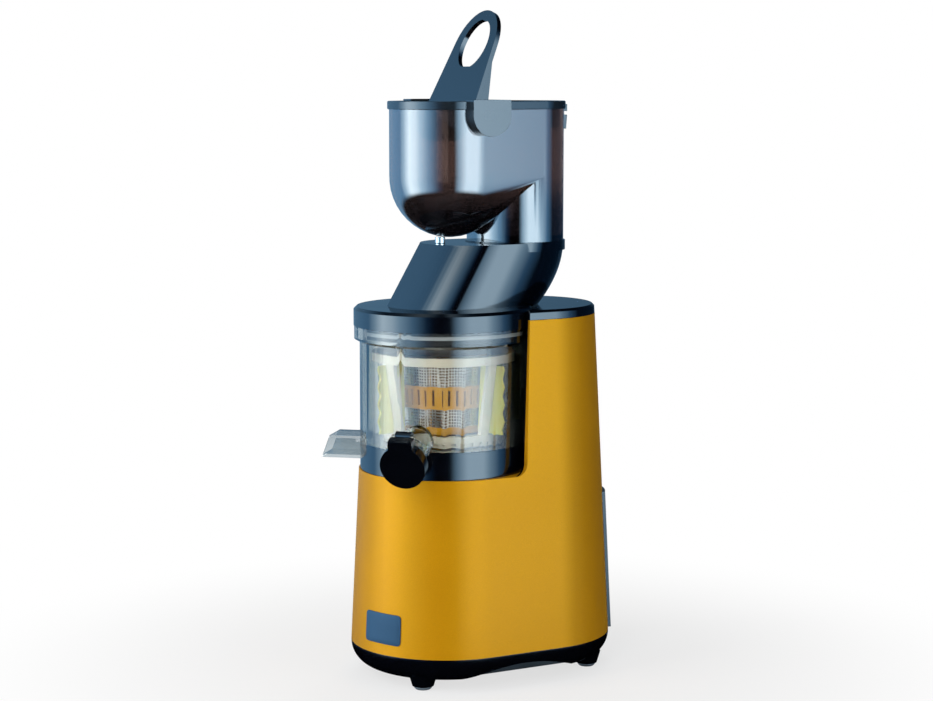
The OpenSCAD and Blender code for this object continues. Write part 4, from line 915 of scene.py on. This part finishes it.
def studio_wall(azimuth):
    """A round wall that only reflections see; its glow follows the table above."""
    bpy.ops.object.select_all(action="DESELECT")
    bpy.ops.mesh.primitive_cylinder_add(
        vertices=96, radius=WALL_RADIUS, depth=WALL_HEIGHT, end_fill_type="NGON",
        location=(0, 0, WALL_MIDDLE),
    )
    wall = bpy.context.object
    bpy.ops.object.transform_apply(location=True, rotation=True, scale=True)
    wall.name = "studio_wall"
    mat = bpy.data.materials.new("wall_glow")
    mat.use_nodes = True
    mat.cycles.emission_sampling = "NONE"
    tree = mat.node_tree
    tree.nodes.clear()
    place = tree.nodes.new("ShaderNodeTexCoord")
    spin = tree.nodes.new("ShaderNodeMapping")
    # turn the wall so that the camera's direction lies on +X
    spin.inputs["Rotation"].default_value = (0, 0, math.pi / 2 - azimuth)
    split = tree.nodes.new("ShaderNodeSeparateXYZ")
    turn = tree.nodes.new("ShaderNodeMath")
    turn.operation = "ARCTAN2"
    share = tree.nodes.new("ShaderNodeMapRange")
    share.inputs["From Min"].default_value = -math.pi
    share.inputs["From Max"].default_value = math.pi
    ramp = tree.nodes.new("ShaderNodeValToRGB")
    ramp.color_ramp.interpolation = "LINEAR"
    ends = ramp.color_ramp.elements
    while len(ends) > 1:
        ends.remove(ends[-1])
    for i, (angle, glow, warmth) in enumerate(WALL):
        stop = ends[0] if i == 0 else ends.new((angle + 180) / 360)
        stop.position = (angle + 180) / 360
        stop.color = wall_glow(glow, warmth)
    lit = tree.nodes.new("ShaderNodeEmission")
    out = tree.nodes.new("ShaderNodeOutputMaterial")
    tree.links.new(place.outputs["Object"], spin.inputs["Vector"])
    tree.links.new(spin.outputs["Vector"], split.inputs["Vector"])
    tree.links.new(split.outputs["Y"], turn.inputs[0])
    tree.links.new(split.outputs["X"], turn.inputs[1])
    tree.links.new(turn.outputs[0], share.inputs["Value"])
    tree.links.new(share.outputs["Result"], ramp.inputs["Fac"])
    tree.links.new(ramp.outputs["Color"], lit.inputs["Color"])
    # the wall is dark below the table top and dim towards the ceiling
    low = remap(tree, split.outputs["Z"], *WALL_DAWN, 0.0, WALL_PEAK)
    high = remap(tree, split.outputs["Z"], *WALL_DUSK, 1.0, 0.1)
    both = tree.nodes.new("ShaderNodeMath")
    both.operation = "MULTIPLY"
    tree.links.new(low.outputs["Result"], both.inputs[0])
    tree.links.new(high.outputs["Result"], both.inputs[1])
    tree.links.new(both.outputs[0], lit.inputs["Strength"])
    tree.links.new(lit.outputs["Emission"], out.inputs["Surface"])
    wall.data.materials.append(mat)
    for seen in ("camera", "diffuse", "transmission", "volume_scatter", "shadow"):
        setattr(wall, "visible_" + seen, False)


def seen_rays(tree):
    """1 for rays that should meet a white background, 0 for those that light the object."""
    path = tree.nodes.new("ShaderNodeLightPath")
    first = tree.nodes.new("ShaderNodeMath")
    first.operation = "MAXIMUM"
    tree.links.new(path.outputs["Is Camera Ray"], first.inputs[0])
    tree.links.new(path.outputs["Is Glossy Ray"], first.inputs[1])
    both = tree.nodes.new("ShaderNodeMath")
    both.operation = "MAXIMUM"
    tree.links.new(first.outputs[0], both.inputs[0])
    tree.links.new(path.outputs["Is Transmission Ray"], both.inputs[1])
    return both


FLOOR_SIZE = 60
FLOOR_GREY = 0.80
# how far from the middle the floor's own glow takes over from its lit colour, and its share near the object
FLOOR_FADE = (0.14, 0.5)
FLOOR_NEAR = 0.7
WORLD_TINT = (0.96, 0.98, 1, 1)
WORLD_LIGHT = 0.16
# lamps round the object: angle from the camera, distance, height, width, tallness and watts
LAMPS = {
    "lamp_left": (-62, 1.5, 0.95, 0.8, 1.7, 13),
    "lamp_front": (-14, 1.0, 0.6, 0.4, 0.8, 3.4),
    "lamp_right": (44, 1.5, 0.9, 0.6, 1.7, 3.2),
    "lamp_top": (0, 0, 1.98, 1.4, 1.4, 5),
    "lamp_back": (170, 1.5, 0.95, 0.9, 1.7, 7),
}
LAMP_AIM = 0.28  # the height that the lamps look at
SENSOR = 36  # millimetres


class JUICER_OT_stage(bpy.types.Operator):
    """Lay the pale floor, light the object softly and set the camera."""

    bl_idname = "juicer.stage"
    bl_label = "Stage"

    def lay_floor(self):
        """A pale floor that keeps the object's shadow and is white further out."""
        bpy.ops.object.select_all(action="DESELECT")
        bpy.ops.mesh.primitive_plane_add(size=FLOOR_SIZE, location=(0, 0, 0))
        floor = bpy.context.object
        floor.name = "stage_floor"
        mat = bpy.data.materials.new("floor_white")
        mat.use_nodes = True
        tree = mat.node_tree
        shader = tree.nodes["Principled BSDF"]
        shader.inputs["Base Color"].default_value = rgba((FLOOR_GREY,) * 3)
        shader.inputs["Roughness"].default_value = 0.9
        shader.inputs["Specular IOR Level"].default_value = 0.0
        glow = tree.nodes.new("ShaderNodeEmission")
        mix = tree.nodes.new("ShaderNodeMixShader")
        place = tree.nodes.new("ShaderNodeTexCoord")
        far = tree.nodes.new("ShaderNodeVectorMath")
        far.operation = "LENGTH"
        tree.links.new(place.outputs["Object"], far.inputs[0])
        fade = remap(tree, far.outputs["Value"], *FLOOR_FADE, FLOOR_NEAR, 1.0)
        seen = seen_rays(tree)
        both = tree.nodes.new("ShaderNodeMath")
        both.operation = "MULTIPLY"
        tree.links.new(fade.outputs["Result"], both.inputs[0])
        tree.links.new(seen.outputs[0], both.inputs[1])
        tree.links.new(both.outputs[0], mix.inputs["Fac"])
        tree.links.new(shader.outputs["BSDF"], mix.inputs[1])
        tree.links.new(glow.outputs["Emission"], mix.inputs[2])
        tree.links.new(mix.outputs[0], tree.nodes["Material Output"].inputs["Surface"])
        floor.data.materials.append(mat)
        floor.visible_glossy = False

    def light_world(self, scene):
        """A dim even light on the object, in front of a white background."""
        world = scene.world or bpy.data.worlds.new("world")
        scene.world = world
        world.use_nodes = True
        tree = world.node_tree
        tree.nodes.clear()
        out = tree.nodes.new("ShaderNodeOutputWorld")
        lit = tree.nodes.new("ShaderNodeBackground")
        lit.inputs["Color"].default_value = WORLD_TINT
        lit.inputs["Strength"].default_value = WORLD_LIGHT
        seen = tree.nodes.new("ShaderNodeBackground")
        seen.inputs["Color"].default_value = (1, 1, 1, 1)
        seen.inputs["Strength"].default_value = 1.0
        mix = tree.nodes.new("ShaderNodeMixShader")
        rays = seen_rays(tree)
        tree.links.new(rays.outputs[0], mix.inputs["Fac"])
        tree.links.new(lit.outputs[0], mix.inputs[1])
        tree.links.new(seen.outputs[0], mix.inputs[2])
        tree.links.new(mix.outputs[0], out.inputs["Surface"])

    def execute(self, context):
        scene = context.scene
        scene.view_settings.view_transform = "Standard"
        self.lay_floor()
        self.light_world(scene)
        middle = base_middle() + Vector((0, 0, LAMP_AIM))
        for name, (angle, distance, height, width, tall, watts) in LAMPS.items():
            area_lamp(name, round_stage(angle, distance, height), middle, width, tall, watts)
        studio_wall(scene.juicer_camera.azimuth)
        self.set_camera(scene)
        return {"FINISHED"}

    def set_camera(self, scene):
        """The camera stands off the base's middle and looks level but for its pitch."""
        k = scene.juicer_camera
        back, right = view_dirs(k.azimuth)
        data = bpy.data.cameras.new("camera")
        data.lens = k.lens
        data.sensor_width = SENSOR
        cam = bpy.data.objects.new("camera", data)
        scene.collection.objects.link(cam)
        cam.location = base_middle() + back * k.distance + right * k.side + Vector((0, 0, k.height))
        aim = -back * math.cos(k.pitch) - Vector((0, 0, math.sin(k.pitch)))
        cam.rotation_mode = "QUATERNION"
        cam.rotation_quaternion = aim.to_track_quat("-Z", "Y")
        scene.camera = cam


class JUICER_PT_panel(bpy.types.Panel):
    """Lists the juicer's operators in the order in which they run."""

    bl_idname = "JUICER_PT_panel"
    bl_label = "Juicer"
    bl_space_type = "VIEW_3D"
    bl_region_type = "UI"
    bl_category = "Juicer"

    def draw(self, context):
        for op in OPERATORS:
            self.layout.operator(op.bl_idname)


OPERATORS = (
    JUICER_OT_finishes,
    JUICER_OT_body,
    JUICER_OT_plate,
    JUICER_OT_lid,
    JUICER_OT_hopper,
    JUICER_OT_juicing_set,
    JUICER_OT_works,
    JUICER_OT_stage,
)
GROUP_PROPS = {"juicer_sizes": JuicerSizes, "juicer_colours": JuicerColours, "juicer_camera": JuicerCamera}
CLASSES = (*GROUP_PROPS.values(), *OPERATORS, JUICER_PT_panel)


def register():
    for cls in CLASSES:
        bpy.utils.register_class(cls)
    for name, cls in GROUP_PROPS.items():
        setattr(bpy.types.Scene, name, bpy.props.PointerProperty(type=cls))


def unregister():
    for name in GROUP_PROPS:
        delattr(bpy.types.Scene, name)
    for cls in reversed(CLASSES):
        bpy.utils.unregister_class(cls)


def main():
    """Register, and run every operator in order."""
    register()
    for op in OPERATORS:
        group, name = op.bl_idname.split(".")
        getattr(getattr(bpy.ops, group), name)()


if __name__ == "__main__":
    main()
